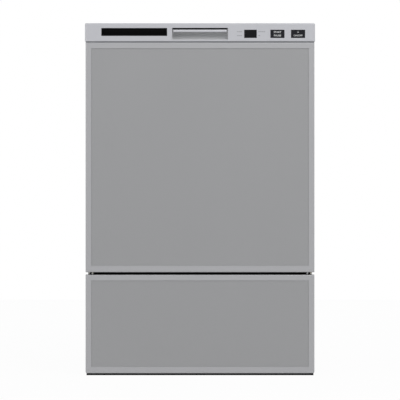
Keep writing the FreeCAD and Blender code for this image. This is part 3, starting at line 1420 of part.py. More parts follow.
def blade_set(count, low, high):
    """Straight blades about the pump's axis, as boxes turned round it."""
    blades = []
    for step in range(int(count.value)):
        blade = block((0, high - low), (0, d.impeller_radius - d.fit_gap),
                      (-d.blade_thick / 2, d.blade_thick / 2))
        blade.Placement = FreeCAD.Placement(
            FreeCAD.Vector(), FreeCAD.Rotation(FreeCAD.Vector(1, 0, 0), 360 * step / count.value))
        for letter, value in zip("xyz", (low, sump_y, d.pump_height)):
            bind(blade, "Placement.Base." + letter, value)
        blades.append(blade)
    return blades


def make_drain_pump():
    """Small pump left of the sump, with its outlet to the rear and a foot on the tray."""
    z = d.drain_height
    right = -drain_right
    body = rod("X", right - d.drain_length, right, sump_y, z, d.drain_radius)
    outlet = rod("Y", sump_y, sump_y + d.drain_radius + d.hose_radius, -d.drain_place, z, d.hose_radius)
    foot = block((right - d.drain_length * 0.8, right - d.drain_length * 0.2),
                 (sump_y - d.drain_radius / 2, sump_y + d.drain_radius / 2),
                 (d.tray_floor + d.tray_wall, z))
    node(fused(body, outlet, foot), "drain_pump")


def make_hoses():
    """Drain hose with its rear spigot, and fill hose from the valve to the tub's floor."""
    x, z = -d.drain_place, d.drain_height
    start = sump_y + d.drain_radius + d.hose_radius
    hose = rod("Y", start, back_face, x, z, d.hose_radius)
    spigot = rod("Y", back_face, rear, x, z, d.spigot_radius)
    fill_x = d.fill_place
    valve_front = back_inner - d.valve_depth
    run = rod("Y", d.fill_turn, valve_front, fill_x, d.inlet_height, d.fill_radius)
    bend = ball(fill_x, d.fill_turn, d.inlet_height, d.fill_radius)
    rise = rod("Z", d.inlet_height, tub_floor, fill_x, d.fill_turn, d.fill_radius)
    node(group(fused(hose, spigot), fused(run, bend, rise)), "internal_hoses")


def make_inlet_valve():
    """Solenoid valve behind the back cover with its threaded inlet."""
    x, z = d.fill_place, d.inlet_height
    body = block((x - d.valve_half, x + d.valve_half), (back_inner - d.valve_depth, back_inner),
                 (z - d.valve_half, z + d.valve_half))
    coil = rod("Z", z + d.valve_half, z + d.valve_half + d.coil_height, x,
               back_inner - d.valve_depth / 2, d.coil_radius)
    neck = rod("Y", back_inner, rear, x, z, d.inlet_radius - d.thread_relief)
    thread = rod("Y", back_face + d.thread_relief, rear, x, z, d.inlet_radius)
    bore = rod("Y", back_inner - d.valve_depth / 4, rear, x, z, d.inlet_radius - d.sump_wall)
    node(carved(fused(body, coil, neck, thread), bore), "inlet_valve")


def make_terminal_box():
    """Box for the mains connection with its cable gland through the back cover."""
    floor = d.tray_floor + d.tray_wall
    box = block((d.box_left, d.box_left + d.box_width), (back_inner - d.box_depth, back_inner),
                (d.tray_height, d.tray_height + d.box_height))
    foot = block((d.box_left, d.box_left + d.box_width),
                 (back_inner - d.box_depth, back_inner - d.tray_wall), (floor, d.tray_height))
    gland = rod("Y", back_inner, back_face + d.gland_reach, d.gland_place, d.inlet_height, d.gland_radius)
    bore = rod("Y", back_inner - d.box_depth / 2, back_face + d.gland_reach, d.gland_place,
               d.inlet_height, d.gland_bore)
    node(carved(fused(box, foot, gland), bore), "terminal_box")


def make_fan():
    """Drying fan: scroll housing with the duct up the tub's back, and the vaned wheel."""
    x, y = -d.fan_place, d.fan_back
    low, high = d.fan_low, d.fan_low + d.fan_height
    wall = d.duct_wall
    duct_x = (x - d.duct_width / 2, x + d.duct_width / 2)
    duct_y = (tub_rear + wall, back_inner - wall)
    throat_z = (low, high)
    mouth_z = (d.duct_top - wall * 2 - d.duct_mouth, d.duct_top)
    outer = fused(rod("Z", low, high, x, y, d.fan_radius),
                  block(duct_x, duct_y, (low, d.duct_top)),
                  block(duct_x, (y, duct_y[1]), throat_z),
                  block(duct_x, (tub_rear, duct_y[0] + wall), mouth_z))
    inner_x = (duct_x[0] + wall, duct_x[1] - wall)
    hollow = [rod("Z", low + wall, high - wall, x, y, d.fan_radius - wall),
              block(inner_x, (duct_y[0] + wall, duct_y[1] - wall), (low + wall, d.duct_top - wall)),
              block(inner_x, (y, duct_y[1] - wall), (low + wall, high - wall)),
              block(inner_x, (tub_rear, duct_y[0] + wall), (mouth_z[0] + wall, mouth_z[1] - wall)),
              rod("Z", low, low + wall, x, y, d.fan_radius / 3)]
    shell = carved(outer, *hollow)
    shaft = rod("Z", low + wall * 4, high, x, y, d.shaft_radius)
    post_x, post_y = x - d.fan_radius * 0.6, y - d.fan_radius * 0.6
    post = rod("Z", d.tray_floor + d.tray_wall, low + wall, post_x, post_y, d.boss_radius)
    node(fused(shell, shaft, post), "fan_duct")

    wheel_low, wheel_high = low + wall + d.fit_gap * 4, high - wall - d.fit_gap * 4
    disc = rod("Z", wheel_low, wheel_low + wall, x, y, d.wheel_out)
    hub = rod("Z", wheel_low, wheel_high, x, y, d.shaft_radius * 2)
    vanes = []
    for step in range(int(d.vane_count.value)):
        turn = 360 * step / d.vane_count.value
        vane = block((0, d.wheel_out / 4), (-wall / 4, wall / 4), (0, wheel_high - wheel_low))
        vane.Placement = FreeCAD.Placement(
            FreeCAD.Vector(), FreeCAD.Rotation(FreeCAD.Vector(0, 0, 1), turn))
        reach = d.wheel_out * 0.72
        bind(vane, "Placement.Base.x", x + reach * math.cos(math.radians(turn)))
        bind(vane, "Placement.Base.y", y + reach * math.sin(math.radians(turn)))
        bind(vane, "Placement.Base.z", wheel_low)
        vanes.append(vane)
    bore = rod("Z", wheel_low, wheel_high, x, y, d.shaft_radius + d.run_gap)
    node(carved(fused(disc, hub, *vanes), bore), "fan_wheel")


def make_float():
    """Overflow float: a dome on a stem that slides in the tub floor's guide."""
    x, y = d.float_side, float_y
    low = tub_floor + d.fit_gap
    dome = rod("Z", low, low + d.float_height, x, y, d.float_radius)
    stem = rod("Z", tub_low - d.float_guide - d.hub_rise * 2, low, x, y, d.float_stem)
    node(fused(dome, stem), "float")


# ---- everything ------------------------------------------------------------------------------


def build():
    for make in (make_base_tray, make_side_panels, make_top_cover, make_back_cover, make_tub,
                 make_door_gasket, make_lower_front, make_feet, make_case_screws,
                 make_hinge_brackets, make_hinge_arms, make_door_springs,
                 make_door_shell, make_door_liner, make_door_screws, make_fascia,
                 make_vent_grille, make_handle_cup, make_handle_lever, make_latch_pawl,
                 make_latch_strike, make_keys, make_control_board, make_dispenser,
                 make_rack_rails, make_rack_runners, make_upper_rack, make_upper_feed_pipe,
                 make_cup_shelf, make_lower_rack, make_rack_wheels, make_folding_tines,
                 make_cutlery_basket, make_sump, make_filters, make_spray_riser,
                 make_heater_ring, make_wash_pump, make_drain_pump, make_hoses,
                 make_inlet_valve, make_terminal_box, make_fan, make_float):
        make()
    make_spray_arm("lower_spray_arm", d.riser_place, arm_low, d.arm_radius)
    make_spray_arm("upper_spray_arm", as_size(0), upper_arm_low, d.upper_arm_radius)
    doc.recompute()


def check_and_write():
    """Stops at any failed object; then writes one file to each node."""
    failed = [thing.Label for thing in doc.Objects
              if "Invalid" in thing.State or "Error" in thing.State]
    if failed:
        raise RuntimeError("failed objects: %s" % ", ".join(failed))
    os.makedirs("parts", exist_ok=True)
    for piece in nodes:
        shape = piece.Shape
        if shape.isNull() or not shape.isValid() or shape.Volume <= 0:
            raise RuntimeError("bad shape: " + piece.Label)
        shape.exportStep("parts/%s.step" % piece.Label)
        print("%-20s solids %2d volume %10.0f" % (piece.Label, len(shape.Solids), shape.Volume))
    print(len(nodes), "nodes")


build()
check_and_write()
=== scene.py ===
# %% [markdown]
# # A slim built-in dishwasher
# The machine is a sheet steel box with a door that drops down in front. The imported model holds
# every rigid part at its place. This lesson gives those parts their finishes, and makes again the
# parts that a plain solid can't show: bent wire, coil springs, moulded arms, print and screws.

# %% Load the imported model
import json
import math

import bpy
from mathutils import Matrix, Vector


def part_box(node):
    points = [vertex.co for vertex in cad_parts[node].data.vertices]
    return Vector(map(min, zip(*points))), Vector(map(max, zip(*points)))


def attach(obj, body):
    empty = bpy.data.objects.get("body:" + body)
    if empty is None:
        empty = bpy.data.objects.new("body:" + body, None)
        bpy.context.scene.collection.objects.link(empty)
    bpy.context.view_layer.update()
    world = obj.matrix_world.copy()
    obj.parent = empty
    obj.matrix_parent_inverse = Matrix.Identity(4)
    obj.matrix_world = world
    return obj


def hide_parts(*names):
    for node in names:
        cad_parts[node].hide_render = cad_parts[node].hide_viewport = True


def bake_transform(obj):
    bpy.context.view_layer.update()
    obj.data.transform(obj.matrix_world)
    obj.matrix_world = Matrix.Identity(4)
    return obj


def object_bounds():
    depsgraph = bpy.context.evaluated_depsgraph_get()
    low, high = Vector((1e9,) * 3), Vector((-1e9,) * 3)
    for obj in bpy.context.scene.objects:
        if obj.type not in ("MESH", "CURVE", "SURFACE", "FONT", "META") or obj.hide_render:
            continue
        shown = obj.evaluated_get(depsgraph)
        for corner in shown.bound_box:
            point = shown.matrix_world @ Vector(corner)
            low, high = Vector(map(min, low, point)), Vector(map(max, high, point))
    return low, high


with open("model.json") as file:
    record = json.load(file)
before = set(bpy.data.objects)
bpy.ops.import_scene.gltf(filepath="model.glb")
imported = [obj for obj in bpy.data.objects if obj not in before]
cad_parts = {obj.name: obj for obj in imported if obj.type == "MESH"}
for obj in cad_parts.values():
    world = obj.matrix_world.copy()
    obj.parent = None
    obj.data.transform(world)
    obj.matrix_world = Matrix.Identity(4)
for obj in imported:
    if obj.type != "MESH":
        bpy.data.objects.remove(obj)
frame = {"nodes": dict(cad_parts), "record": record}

cad_box = [list(corner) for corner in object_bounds()]
nodes = frame["nodes"]

# %% [markdown]
# Sizes are easier to read in millimetres, and Blender works in metres. Two small helpers turn one
# into the other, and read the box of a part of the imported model, so that new pieces go where the
# parts are.

# %% Millimetres
MM = 0.001


def metres(*values):
    """A point given in millimetres."""
    return Vector(values) * MM


def span(node):
    """Lowest and highest corner of a part, in millimetres."""
    low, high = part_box(node)
    return low / MM, high / MM


body_low, body_high = (Vector(corner) / MM for corner in cad_box)
print("the machine is", [round(size) for size in body_high - body_low], "mm")

# %% [markdown]
# The camera comes first. The machine is seen straight from the front, from far away, so that its
# sides stay hidden. A long lens does that.

# %% Camera
VIEW_WIDTH = 778.4
VIEW_MIDDLE = 341.7
LENS = 200
camera_data = bpy.data.cameras.new("camera")
camera_data.lens = LENS
camera_data.clip_end = 100
camera = bpy.data.objects.new("camera", camera_data)
bpy.context.scene.collection.objects.link(camera)
distance = VIEW_WIDTH * LENS / camera_data.sensor_width
camera.location = metres(0, body_low.y - distance, VIEW_MIDDLE)
camera.rotation_euler = (math.radians(90), 0, 0)
bpy.context.scene.camera = camera
bpy.context.scene.view_settings.view_transform = "Standard"
print("camera stands", round(distance), "mm in front of the door")

# %% [markdown]
# Shader maths reads best as sums. One small class wraps a socket, and each sum with it adds a Math
# node. A second class adds any other node to a tree. A third is a material while it is made, and
# feeds the main shader. Patterns use the coordinates of the object, so they move with a part.

# %% Shader sums


class Wire:
    """The output of a shader node; each sum with it adds a Math node."""

    def __init__(self, owner, socket):
        self.owner, self.socket = owner, socket

    def sum(self, operation, first, second):
        return self.owner.add("Math", {"operation": operation}, {0: first, 1: second})

    def changed(self, operation):
        return self.sum(operation, self, 0.0)

    def __add__(self, other):
        return self.sum("ADD", self, other)

    def __sub__(self, other):
        return self.sum("SUBTRACT", self, other)

    def __rsub__(self, other):
        return self.sum("SUBTRACT", other, self)

    def __mul__(self, other):
        return self.sum("MULTIPLY", self, other)

    __radd__ = __add__
    __rmul__ = __mul__


# %% A node tree and a material while they are made


class Tree:
    """The nodes of a world or a material."""

    def __init__(self, owner):
        owner.use_nodes = True
        self.tree = owner.node_tree

    def feed(self, socket, value):
        if isinstance(value, Wire):
            self.tree.links.new(value.socket, socket)
        else:
            socket.default_value = value

    def add(self, kind, settings=None, values=None, out=0):
        """Any node: its settings first, then the values or links of its sockets."""
        made = self.tree.nodes.new("ShaderNode" + kind)
        for name, value in (settings or {}).items():
            setattr(made, name, value)
        for name, value in (values or {}).items():
            self.feed(made.inputs[name], value)
        return Wire(self, made.outputs[out])

    def rays(self, *kinds):
        """1 for rays of any of these kinds, 0 for others."""
        first, *others = [self.add("LightPath", out="Is %s Ray" % kind) for kind in kinds]
        for other in others:
            first = first.sum("MAXIMUM", first, other)
        return first


class Finish(Tree):
    """A Principled material, with the few patterns that this machine's finishes are made of."""

    def __init__(self, name, colour, roughness, metallic=0.0, **constants):
        self.material = bpy.data.materials.new(name)
        super().__init__(self.material)
        self.shader = self.tree.nodes["Principled BSDF"]
        self.colour = (*colour, 1.0)
        self.feed(self.shader.inputs["Base Color"], self.colour)
        self.feed(self.shader.inputs["Roughness"], roughness)
        self.feed(self.shader.inputs["Metallic"], metallic)
        for socket, value in constants.items():
            label = socket.replace("_", " ").title().replace("Ior", "IOR")
            self.feed(self.shader.inputs[label], value)
        self.place = self.add("TexCoord", out="Object")

    def noise(self, scale, detail=2.0, stretch=(1, 1, 1)):
        """Cloudy values round one half; scale counts lumps to the metre."""
        place = self.add("Mapping", values={"Vector": self.place, "Scale": stretch})
        return self.add("TexNoise", values={"Vector": place, "Scale": scale, "Detail": detail})

    def ramp(self, value, low, high, first=0.0, last=1.0):
        """From first to last as value goes from low to high."""
        return self.add("MapRange", {"interpolation_type": "SMOOTHSTEP"},
                        {"Value": value, "From Min": low, "From Max": high,
                         "To Min": first, "To Max": last})

    def tint(self, amount, first, second):
        """A colour between two, by an amount from 0 to 1."""
        return self.add("Mix", {"data_type": "RGBA"}, {0: amount, 6: first, 7: second}, out=2)

    def shade(self, factor):
        """The finish's own colour made lighter and darker by a factor round 1."""
        deep = tuple(part * 0.5 for part in self.colour[:3]) + (1.0,)
        pale = tuple(min(1.0, part * 1.5) for part in self.colour[:3]) + (1.0,)
        return self.tint(factor - 0.5, deep, pale)

    def axis(self, letter):
        return self.add("SeparateXYZ", values={"Vector": self.place}, out=letter)

    def paint(self, colour, roughness, height, depth, strength):
        """Feeds the main shader: its colour, its roughness, and a relief this many metres deep."""
        bump = self.add("Bump", values={"Height": height, "Distance": depth, "Strength": strength})
        for socket, value in (("Base Color", colour), ("Roughness", roughness), ("Normal", bump)):
            self.feed(self.shader.inputs[socket], value)
        return self.material


def srgb(red, green, blue):
    """A colour as a screen shows it, from 0 to 255, as the light that Blender works with."""
    parts = (part / 255 for part in (red, green, blue))
    return tuple(p / 12.92 if p <= 0.04045 else ((p + 0.055) / 1.055) ** 2.4 for p in parts)


# %% [markdown]
# Soft boxes light the machine as in a studio. The white behind it is a colour that only the camera,
# gloss and glass see, so no extra light falls on the steel; a plain white world would flatten it.

# %% Soft studio light
world = bpy.data.worlds.new("studio")
bpy.context.scene.world = world
sky = Tree(world)
room = sky.add("Background", values={"Color": (0.93, 0.96, 1.0, 1), "Strength": 0.5})
backdrop = sky.add("Background", values={"Color": (1, 1, 1, 1), "Strength": 1.0})
either = sky.add("MixShader", values={0: sky.rays("Glossy", "Transmission", "Camera"),
                                      1: room, 2: backdrop})
sky.feed(sky.tree.nodes["World Output"].inputs["Surface"], either)


def softbox(name, place, aim, width, power):
    """A square lamp at a place, turned towards a point; both in metres."""
    lamp_data = bpy.data.lights.new(name, "AREA")
    lamp_data.size = width
    lamp_data.energy = power
    lamp = bpy.data.objects.new(name, lamp_data)
    bpy.context.scene.collection.objects.link(lamp)
    lamp.location = place
    lamp.rotation_euler = (Vector(aim) - Vector(place)).to_track_quat("-Z", "Y").to_euler()


softbox("key_lamp", (1.6, -2.5, 2.7), (0, 0, 0.4), 2.2, 44)
softbox("fill_lamp", (-2.2, -2.2, 1.7), (0, 0, 0.4), 2.2, 18)
softbox("back_lamp", (0.6, 2.6, 2.0), (0, 0, 0.35), 2.0, 16)

# %% [markdown]
# The front is sheet steel under a satin silver film, and the fascia is sprayed plastic. Both hold
# fine metal flakes that make the colour grainy when close, a trace of orange peel, and a soft
# cloudiness where hands wipe it.

# %% Silver finishes


PRINT_HALF, PRINT_DEPTH = 0.8, 0.42


def silver(name, colour, roughness, metallic, cloud=0.02, marks=()):
    """Sprayed or filmed silver; marks are printed bars, each (left, right, height) in mm."""
    finish = Finish(name, colour, roughness, metallic, coat_weight=0.12, coat_roughness=0.25)
    flakes = finish.noise(5200, 1.0)
    wiped = finish.noise(9, 3.0, (1, 1, 0.45))
    peel = finish.noise(620, 1.0)
    factor = 1.0 + (flakes - 0.5) * 0.05 + (wiped - 0.5) * cloud
    for left, right, height in marks:
        bar = (between(finish, "X", left, right)
               * between(finish, "Z", height - PRINT_HALF, height + PRINT_HALF))
        factor = factor - bar * PRINT_DEPTH
    return finish.paint(finish.shade(factor), roughness + (wiped - 0.5) * 0.16,
                        peel + flakes * 0.35, 0.00003, 0.35)


def between(finish, letter, low, high):
    """1 where a coordinate lies between two places in millimetres, 0 outside."""
    place, soft = finish.axis(letter), 0.15
    return (finish.ramp(place, (low - soft) * MM, (low + soft) * MM)
            * finish.ramp(place, (high - soft) * MM, (high + soft) * MM, 1.0, 0.0))


finishes = {}
finishes["satin_silver"] = silver("satin_silver_film", srgb(171, 171, 173), 0.42, 0.55)
# A darker copy of the satin silver: painted shade for the shadow in the groove under the fascia.
finishes["groove_painted_shade_silver"] = silver("satin_silver_painted_shade", srgb(141, 142, 145), 0.5, 0.5)
finishes["panel_silver"] = silver("panel_silver_film", srgb(155, 155, 156), 0.46, 0.5, 0.03)
low, high = span("display_window")
low_row, high_row = (low.z + (high.z - low.z) / 4 * line for line in (1.15, 3.05))
marks = [(low.x - reach, low.x - reach + 2.4, row)
         for reach in (13.6, 10.4, 7.2) for row in (low_row, high_row)]
marks += [(high.x + reach, high.x + reach + 2.6, high_row) for reach in (3.2, 6.6, 10.0, 13.4)]
marks.append((high.x + 3.2, high.x + 6.4, low_row))
finishes["fascia_silver"] = silver("sprayed_silver_plastic", srgb(192, 192, 196), 0.44, 0.3,
                                   marks=marks)
# A much lighter copy of the fascia silver: painted light that lifts the shade inside the hand scoop.
finishes["scoop_painted_light_silver"] = silver("sprayed_silver_painted_light_scoop", srgb(241, 241, 244), 0.4, 0.2)
# A lighter copy of the fascia silver: painted light on the finger bar.
finishes["bar_painted_light_silver"] = silver("sprayed_silver_painted_light_bar", srgb(201, 201, 205), 0.42, 0.3)

# %% [markdown]
# The case is galvanised steel, whose zinc freezes in crystals a few millimetres wide. Cells with a
# random grey each show that. The tub is brushed stainless steel: fine long lines, with a rougher
# and a smoother band here and there.

# %% Sheet steel


def galvanised(name, colour):
    finish = Finish(name, colour, 0.5, 0.8)
    warp = finish.add("Mix", {"data_type": "VECTOR"},
                      {0: 0.012, 4: finish.place,
                       5: finish.add("TexNoise", values={"Vector": finish.place, "Scale": 70.0},
                                     out=1)}, out=1)
    cells = finish.add("TexVoronoi", values={"Vector": warp, "Scale": 85.0}, out="Color")
    grey = finish.add("RGBToBW", values={0: cells})
    fine = finish.noise(900, 2.0)
    factor = 0.93 + grey * 0.16 + (fine - 0.5) * 0.05
    return finish.paint(finish.shade(factor), 0.44 + grey * 0.18, grey + fine * 0.3, 0.00004, 0.4)


def brushed(name, colour, along):
    """Steel brushed along one axis: X, Y or Z."""
    finish = Finish(name, colour, 0.3, 1.0)
    stretch = tuple(0.012 if letter == along else 1.0 for letter in "XYZ")
    lines = finish.noise(2600, 3.0, stretch)
    bands = finish.noise(120, 2.0, stretch)
    stains = finish.noise(14, 2.0)
    factor = 1.0 + (lines - 0.5) * 0.16 + (bands - 0.5) * 0.08
    return finish.paint(finish.shade(factor),
                        0.3 + (lines - 0.5) * 0.16 + (stains - 0.5) * 0.1,
                        lines, 0.00004, 0.5)


def perforated(name, colour, pitch, hole):
    """A sheet with rows of round holes seen from above; pitch and hole in millimetres."""
    finish = Finish(name, colour, 0.36, 0.95)
    across, along = ((finish.axis(letter) * (1 / (pitch * MM))).changed("FRACT") - 0.5
                     for letter in "XY")
    away = (across * across + along * along).changed("SQRT")
    sheet = finish.ramp(away, hole / pitch / 2 - 0.03, hole / pitch / 2 + 0.03)
    stains = finish.noise(30, 2.0)
    steel = finish.shade(0.96 + stains * 0.08)
    # The holes are painted near-black: painted shade for the dark seen through them.
    return finish.paint(finish.tint(sheet, (0.012, 0.012, 0.012, 1.0), steel),
                        0.7 - sheet * 0.36 + (stains - 0.5) * 0.1, sheet, 0.0004, 0.8)


finishes["filter_mesh"] = perforated("perforated_stainless", srgb(200, 200, 198), 2.4, 1.3)
finishes["case_steel"] = galvanised("galvanised_sheet", srgb(162, 165, 168))
finishes["stainless"] = brushed("brushed_stainless", srgb(205, 204, 201), "Z")
finishes["stainless_cross"] = brushed("brushed_stainless_cross", srgb(205, 204, 201), "X")

# %% [markdown]
# Moulded plastic copies the sparked skin of its mould, a fine even grain. The same recipe with
# other colours and grain serves nearly all the plastic parts, so a function makes them.

# %% Plastics, rubber and coated wire


def moulded(name, colour, roughness, grain=1500.0, depth=0.00004, mottle=0.04, **constants):
    finish = Finish(name, colour, roughness, **constants)
    skin = finish.noise(grain, 2.0)
    flow = finish.noise(26, 3.0)
    factor = 1.0 + (flow - 0.5) * mottle + (skin - 0.5) * mottle
    return finish.paint(finish.shade(factor), roughness + (skin - 0.5) * 0.14 + (flow - 0.5) * 0.08,
                        skin, depth, 0.5)


finishes["black_plastic"] = moulded("black_grained_plastic", srgb(9, 9, 10), 0.55,
                                    specular_ior_level=0.08)
finishes["key_plastic"] = moulded("dark_key_plastic", srgb(26, 27, 31), 0.5,
                                  specular_ior_level=0.16)
finishes["grey_plastic"] = moulded("grey_polypropylene", srgb(168, 172, 176), 0.42)
finishes["white_plastic"] = moulded("white_acetal", srgb(226, 226, 222), 0.35)
finishes["pump_plastic"] = moulded("natural_polypropylene", srgb(188, 188, 180), 0.5, 900.0)
finishes["foot_plastic"] = moulded("black_foot_plastic", srgb(38, 38, 40), 0.55, 1100.0, 0.00006)
finishes["seal_rubber"] = moulded("seal_rubber", srgb(64, 65, 68), 0.72, 2400.0, 0.00003, 0.1)
finishes["coated_wire"] = moulded("nylon_coated_wire", srgb(176, 181, 188), 0.34, 700.0, 0.00006,
                                  0.06, coat_weight=0.3, coat_roughness=0.2)
finishes["dark_gloss"] = moulded("dark_gloss_window", srgb(15, 15, 18), 0.14, 300.0, 0.000004,
                                 0.1, specular_ior_level=0.12)
finishes["rail_plastic"] = moulded("pale_rail_plastic", srgb(196, 199, 202), 0.38)
finishes["blue_plastic"] = moulded("blue_acetal", srgb(74, 108, 150), 0.38)

# %% [markdown]
# The small metal parts differ: bright zinc on brackets and screws, lacquered laminations on the
# motor, and green lacquer with copper tracks on the circuit board.

# %% Zinc, motor and circuit board


def zinc(name, colour):
    finish = Finish(name, colour, 0.34, 0.95)
    bloom = finish.noise(160, 3.0)
    fine = finish.noise(1700, 2.0)
    warm = finish.tint(finish.ramp(bloom, 0.35, 0.7), (*colour, 1.0),
                       (*srgb(196, 188, 160), 1.0))
    return finish.paint(warm, 0.28 + (bloom - 0.5) * 0.3 + fine * 0.12, fine, 0.00004, 0.4)


def laminated(name, colour):
    finish = Finish(name, colour, 0.5, 0.6)
    sheets = finish.add("TexWave", {"bands_direction": "X", "wave_profile": "SIN"},
                        {"Vector": finish.place, "Scale": 320.0, "Distortion": 0.0})
    dull = finish.noise(60, 3.0)
    factor = 0.8 + sheets * 0.3 + (dull - 0.5) * 0.2
    return finish.paint(finish.shade(factor), 0.4 + dull * 0.2, sheets, 0.0002, 0.6)


def circuit_board(name):
    finish = Finish(name, srgb(24, 82, 48), 0.3, coat_weight=0.5, coat_roughness=0.1)
    tracks = finish.add("TexBrick", {"offset": 0.37, "squash": 1.6, "squash_frequency": 3},
                        {"Vector": finish.add("Mapping", values={
                            "Vector": finish.place,
                            "Rotation": (math.radians(90), 0, 0)}),
                         "Color1": (0, 0, 0, 1), "Color2": (0, 0, 0, 1), "Mortar": (1, 1, 1, 1),
                         "Scale": 150.0, "Mortar Size": 0.06, "Brick Width": 0.9,
                         "Row Height": 0.32})
    lines = finish.add("RGBToBW", values={0: tracks})
    green = finish.tint(lines, finish.colour, (*srgb(62, 130, 74), 1.0))
    return finish.paint(green, 0.3 - lines * 0.08, lines, 0.00004, 0.6)


finishes["zinc_steel"] = zinc("zinc_plated_steel", srgb(186, 188, 190))
finishes["motor_metal"] = laminated("motor_laminations", srgb(58, 58, 62))
finishes["board_green"] = circuit_board("circuit_board_lacquer")
print(len(finishes), "finishes")

# %% [markdown]
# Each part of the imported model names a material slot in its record. A finish is made for each slot,
# so most parts are dressed in one loop. A few parts differ from their slot, and are listed.

# %% Dress the parts that stay
slot_of = {part["node"]: part["material_slot"] for part in frame["record"]["subparts"]}
other_finish = {"back_cover": "case_steel", "door_liner": "stainless_cross",
                "rack_rails": "stainless_cross", "rack_runners": "rail_plastic",
                "residue_filter": "grey_plastic", "filter_plate": "filter_mesh"}
for name, node in nodes.items():
    finish = finishes[other_finish.get(name, slot_of[name])]
    if not node.material_slots:
        node.data.materials.append(finish)
    for material_slot in node.material_slots:
        material_slot.material = finish
print("dressed", len(nodes), "parts")

# %% [markdown]
# New pieces are modelled as by hand: a primitive at its place, shaped in edit mode. An operator
# acts on everything that is selected, so each step first leaves edit mode, drops the old selection
# and picks its own faces or edges by their place.

# %% Modelling by hand


def bare():
    """Object mode, with nothing selected."""
    if bpy.context.object and bpy.context.object.mode != "OBJECT":
        bpy.ops.object.mode_set(mode="OBJECT")
    bpy.ops.object.select_all(action="DESELECT")


def take(*pieces):
    """Selects these pieces alone, the first one active."""
    bare()
    for piece in pieces:
        piece.select_set(True)
    bpy.context.view_layer.objects.active = pieces[0]
    return pieces[0]


def named(name):
    """Names what was just added, and puts its place and size into its mesh."""
    made = bpy.context.object
    made.name = made.data.name = name
    bpy.ops.object.transform_apply(location=True, rotation=True, scale=True)
    return made


def block(name, first, second):
    """A box between any two opposite corners in millimetres, to be shaped further."""
    bare()
    low, high = metres(*map(min, first, second)), metres(*map(max, first, second))
    bpy.ops.mesh.primitive_cube_add(size=1, location=(low + high) / 2, scale=high - low)
    return named(name)


def rod(name, start, end, radius, sides=24):
    """A cylinder between two points in millimetres, to be shaped further."""
    bare()
    start, end = metres(*start), metres(*end)
    turn = (end - start).to_track_quat("Z", "Y").to_euler()
    bpy.ops.mesh.primitive_cylinder_add(vertices=sides, radius=radius * MM,
                                        depth=(end - start).length,
                                        location=(start + end) / 2, rotation=turn)
    return named(name)


def whole(piece):
    """Edit mode with all of a piece selected."""
    take(piece)
    bpy.ops.object.mode_set(mode="EDIT")
    bpy.ops.mesh.select_all(action="SELECT")
    return piece


def edit(piece, part, chosen):
    """Edit mode with the faces or edges selected that a test on their middle and way picks."""
    take(piece)
    bpy.ops.object.mode_set(mode="EDIT")
    bpy.ops.mesh.select_mode(type=part)
    bpy.ops.mesh.select_all(action="DESELECT")
    bpy.ops.object.mode_set(mode="OBJECT")
    mesh = piece.data
    if part == "FACE":
        for face in mesh.polygons:
            face.select = chosen(face.center / MM, face.normal)
    else:
        for edge in mesh.edges:
            first, second = (mesh.vertices[place].co / MM for place in edge.vertices)
            edge.select = chosen((first + second) / 2, second - first)
    bpy.ops.object.mode_set(mode="EDIT")


def dished(piece, way, margin, depth):
    """Insets the face that looks along -Y or +Y and moves its middle along Y, in millimetres."""
    edit(piece, "FACE", lambda c, n: n.y * way > 0.9)
    bpy.ops.mesh.inset(thickness=margin * MM)
    bpy.ops.transform.translate(value=(0, depth * MM, 0))
    return piece


# %% [markdown]
# A whole piece is changed by modifiers, and is made of parts that are joined, copied or mirrored,
# as that is quicker than to draw each again. At last it is smoothed up to its sharp edges, and
# gets its finish and its body.

# %% Changing and finishing whole pieces


def modifier(piece, kind, **settings):
    """Adds a modifier and applies it."""
    take(piece)
    bpy.ops.object.modifier_add(type=kind)
    added = piece.modifiers[-1]
    for setting, value in settings.items():
        setattr(added, setting, value)
    bpy.ops.object.modifier_apply(modifier=added.name)


def rounded(piece, width, segments=2):
    """Rounds the sharp edges, width in millimetres."""
    modifier(piece, "BEVEL", width=width * MM, segments=segments, limit_method="ANGLE",
             angle_limit=math.radians(40))
    return piece


def joined(name, pieces):
    """Several pieces as one mesh."""
    made = take(*pieces)
    if len(pieces) > 1:
        bpy.ops.object.join()
    made.name = made.data.name = name
    return made


def copied(piece, *steps):
    """Copies with their own mesh, each moved by a step in millimetres."""
    bare()
    made = []
    for step in steps:
        other = piece.copy()
        other.data = piece.data.copy()
        bpy.context.scene.collection.objects.link(other)
        other.data.transform(Matrix.Translation(metres(*step)))
        made.append(other)
    return made


def repeated(piece, steps):
    """Copies at each of these steps, and not the piece itself."""
    made = copied(piece, *steps)
    bpy.data.objects.remove(piece)
    return made


def mirrored(name, piece):
    """A copy on the other side of the machine."""
    other = whole(copied(piece, (0, 0, 0))[0])
    bpy.ops.transform.mirror(constraint_axis=(True, False, False), center_override=(0, 0, 0))
    return joined(name, [other])


def finished(piece, body, finish, stands_for=()):
    """Smooths a piece, gives it its finish, and lets it ride on a body, if it names one."""
    whole(piece)
    bpy.ops.mesh.normals_make_consistent(inside=False)
    bpy.ops.object.mode_set(mode="OBJECT")
    bpy.ops.object.shade_smooth_by_angle(angle=math.radians(35))
    piece.data.materials.clear()
    piece.data.materials.append(finishes[finish])
    if body:
        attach(piece, body)
    if stands_for:
        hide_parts(*stands_for)
    print(piece.name, "has", len(piece.data.polygons), "faces")
    return piece


# %% [markdown]
# Rack wire is bent steel dipped in nylon. It is drawn as the bender makes it: one point, pulled out
# corner by corner into a chain of edges. The corners are bevelled into bends, and the chain becomes
# a curve that gets its thickness and round section.

# %% Bent wire


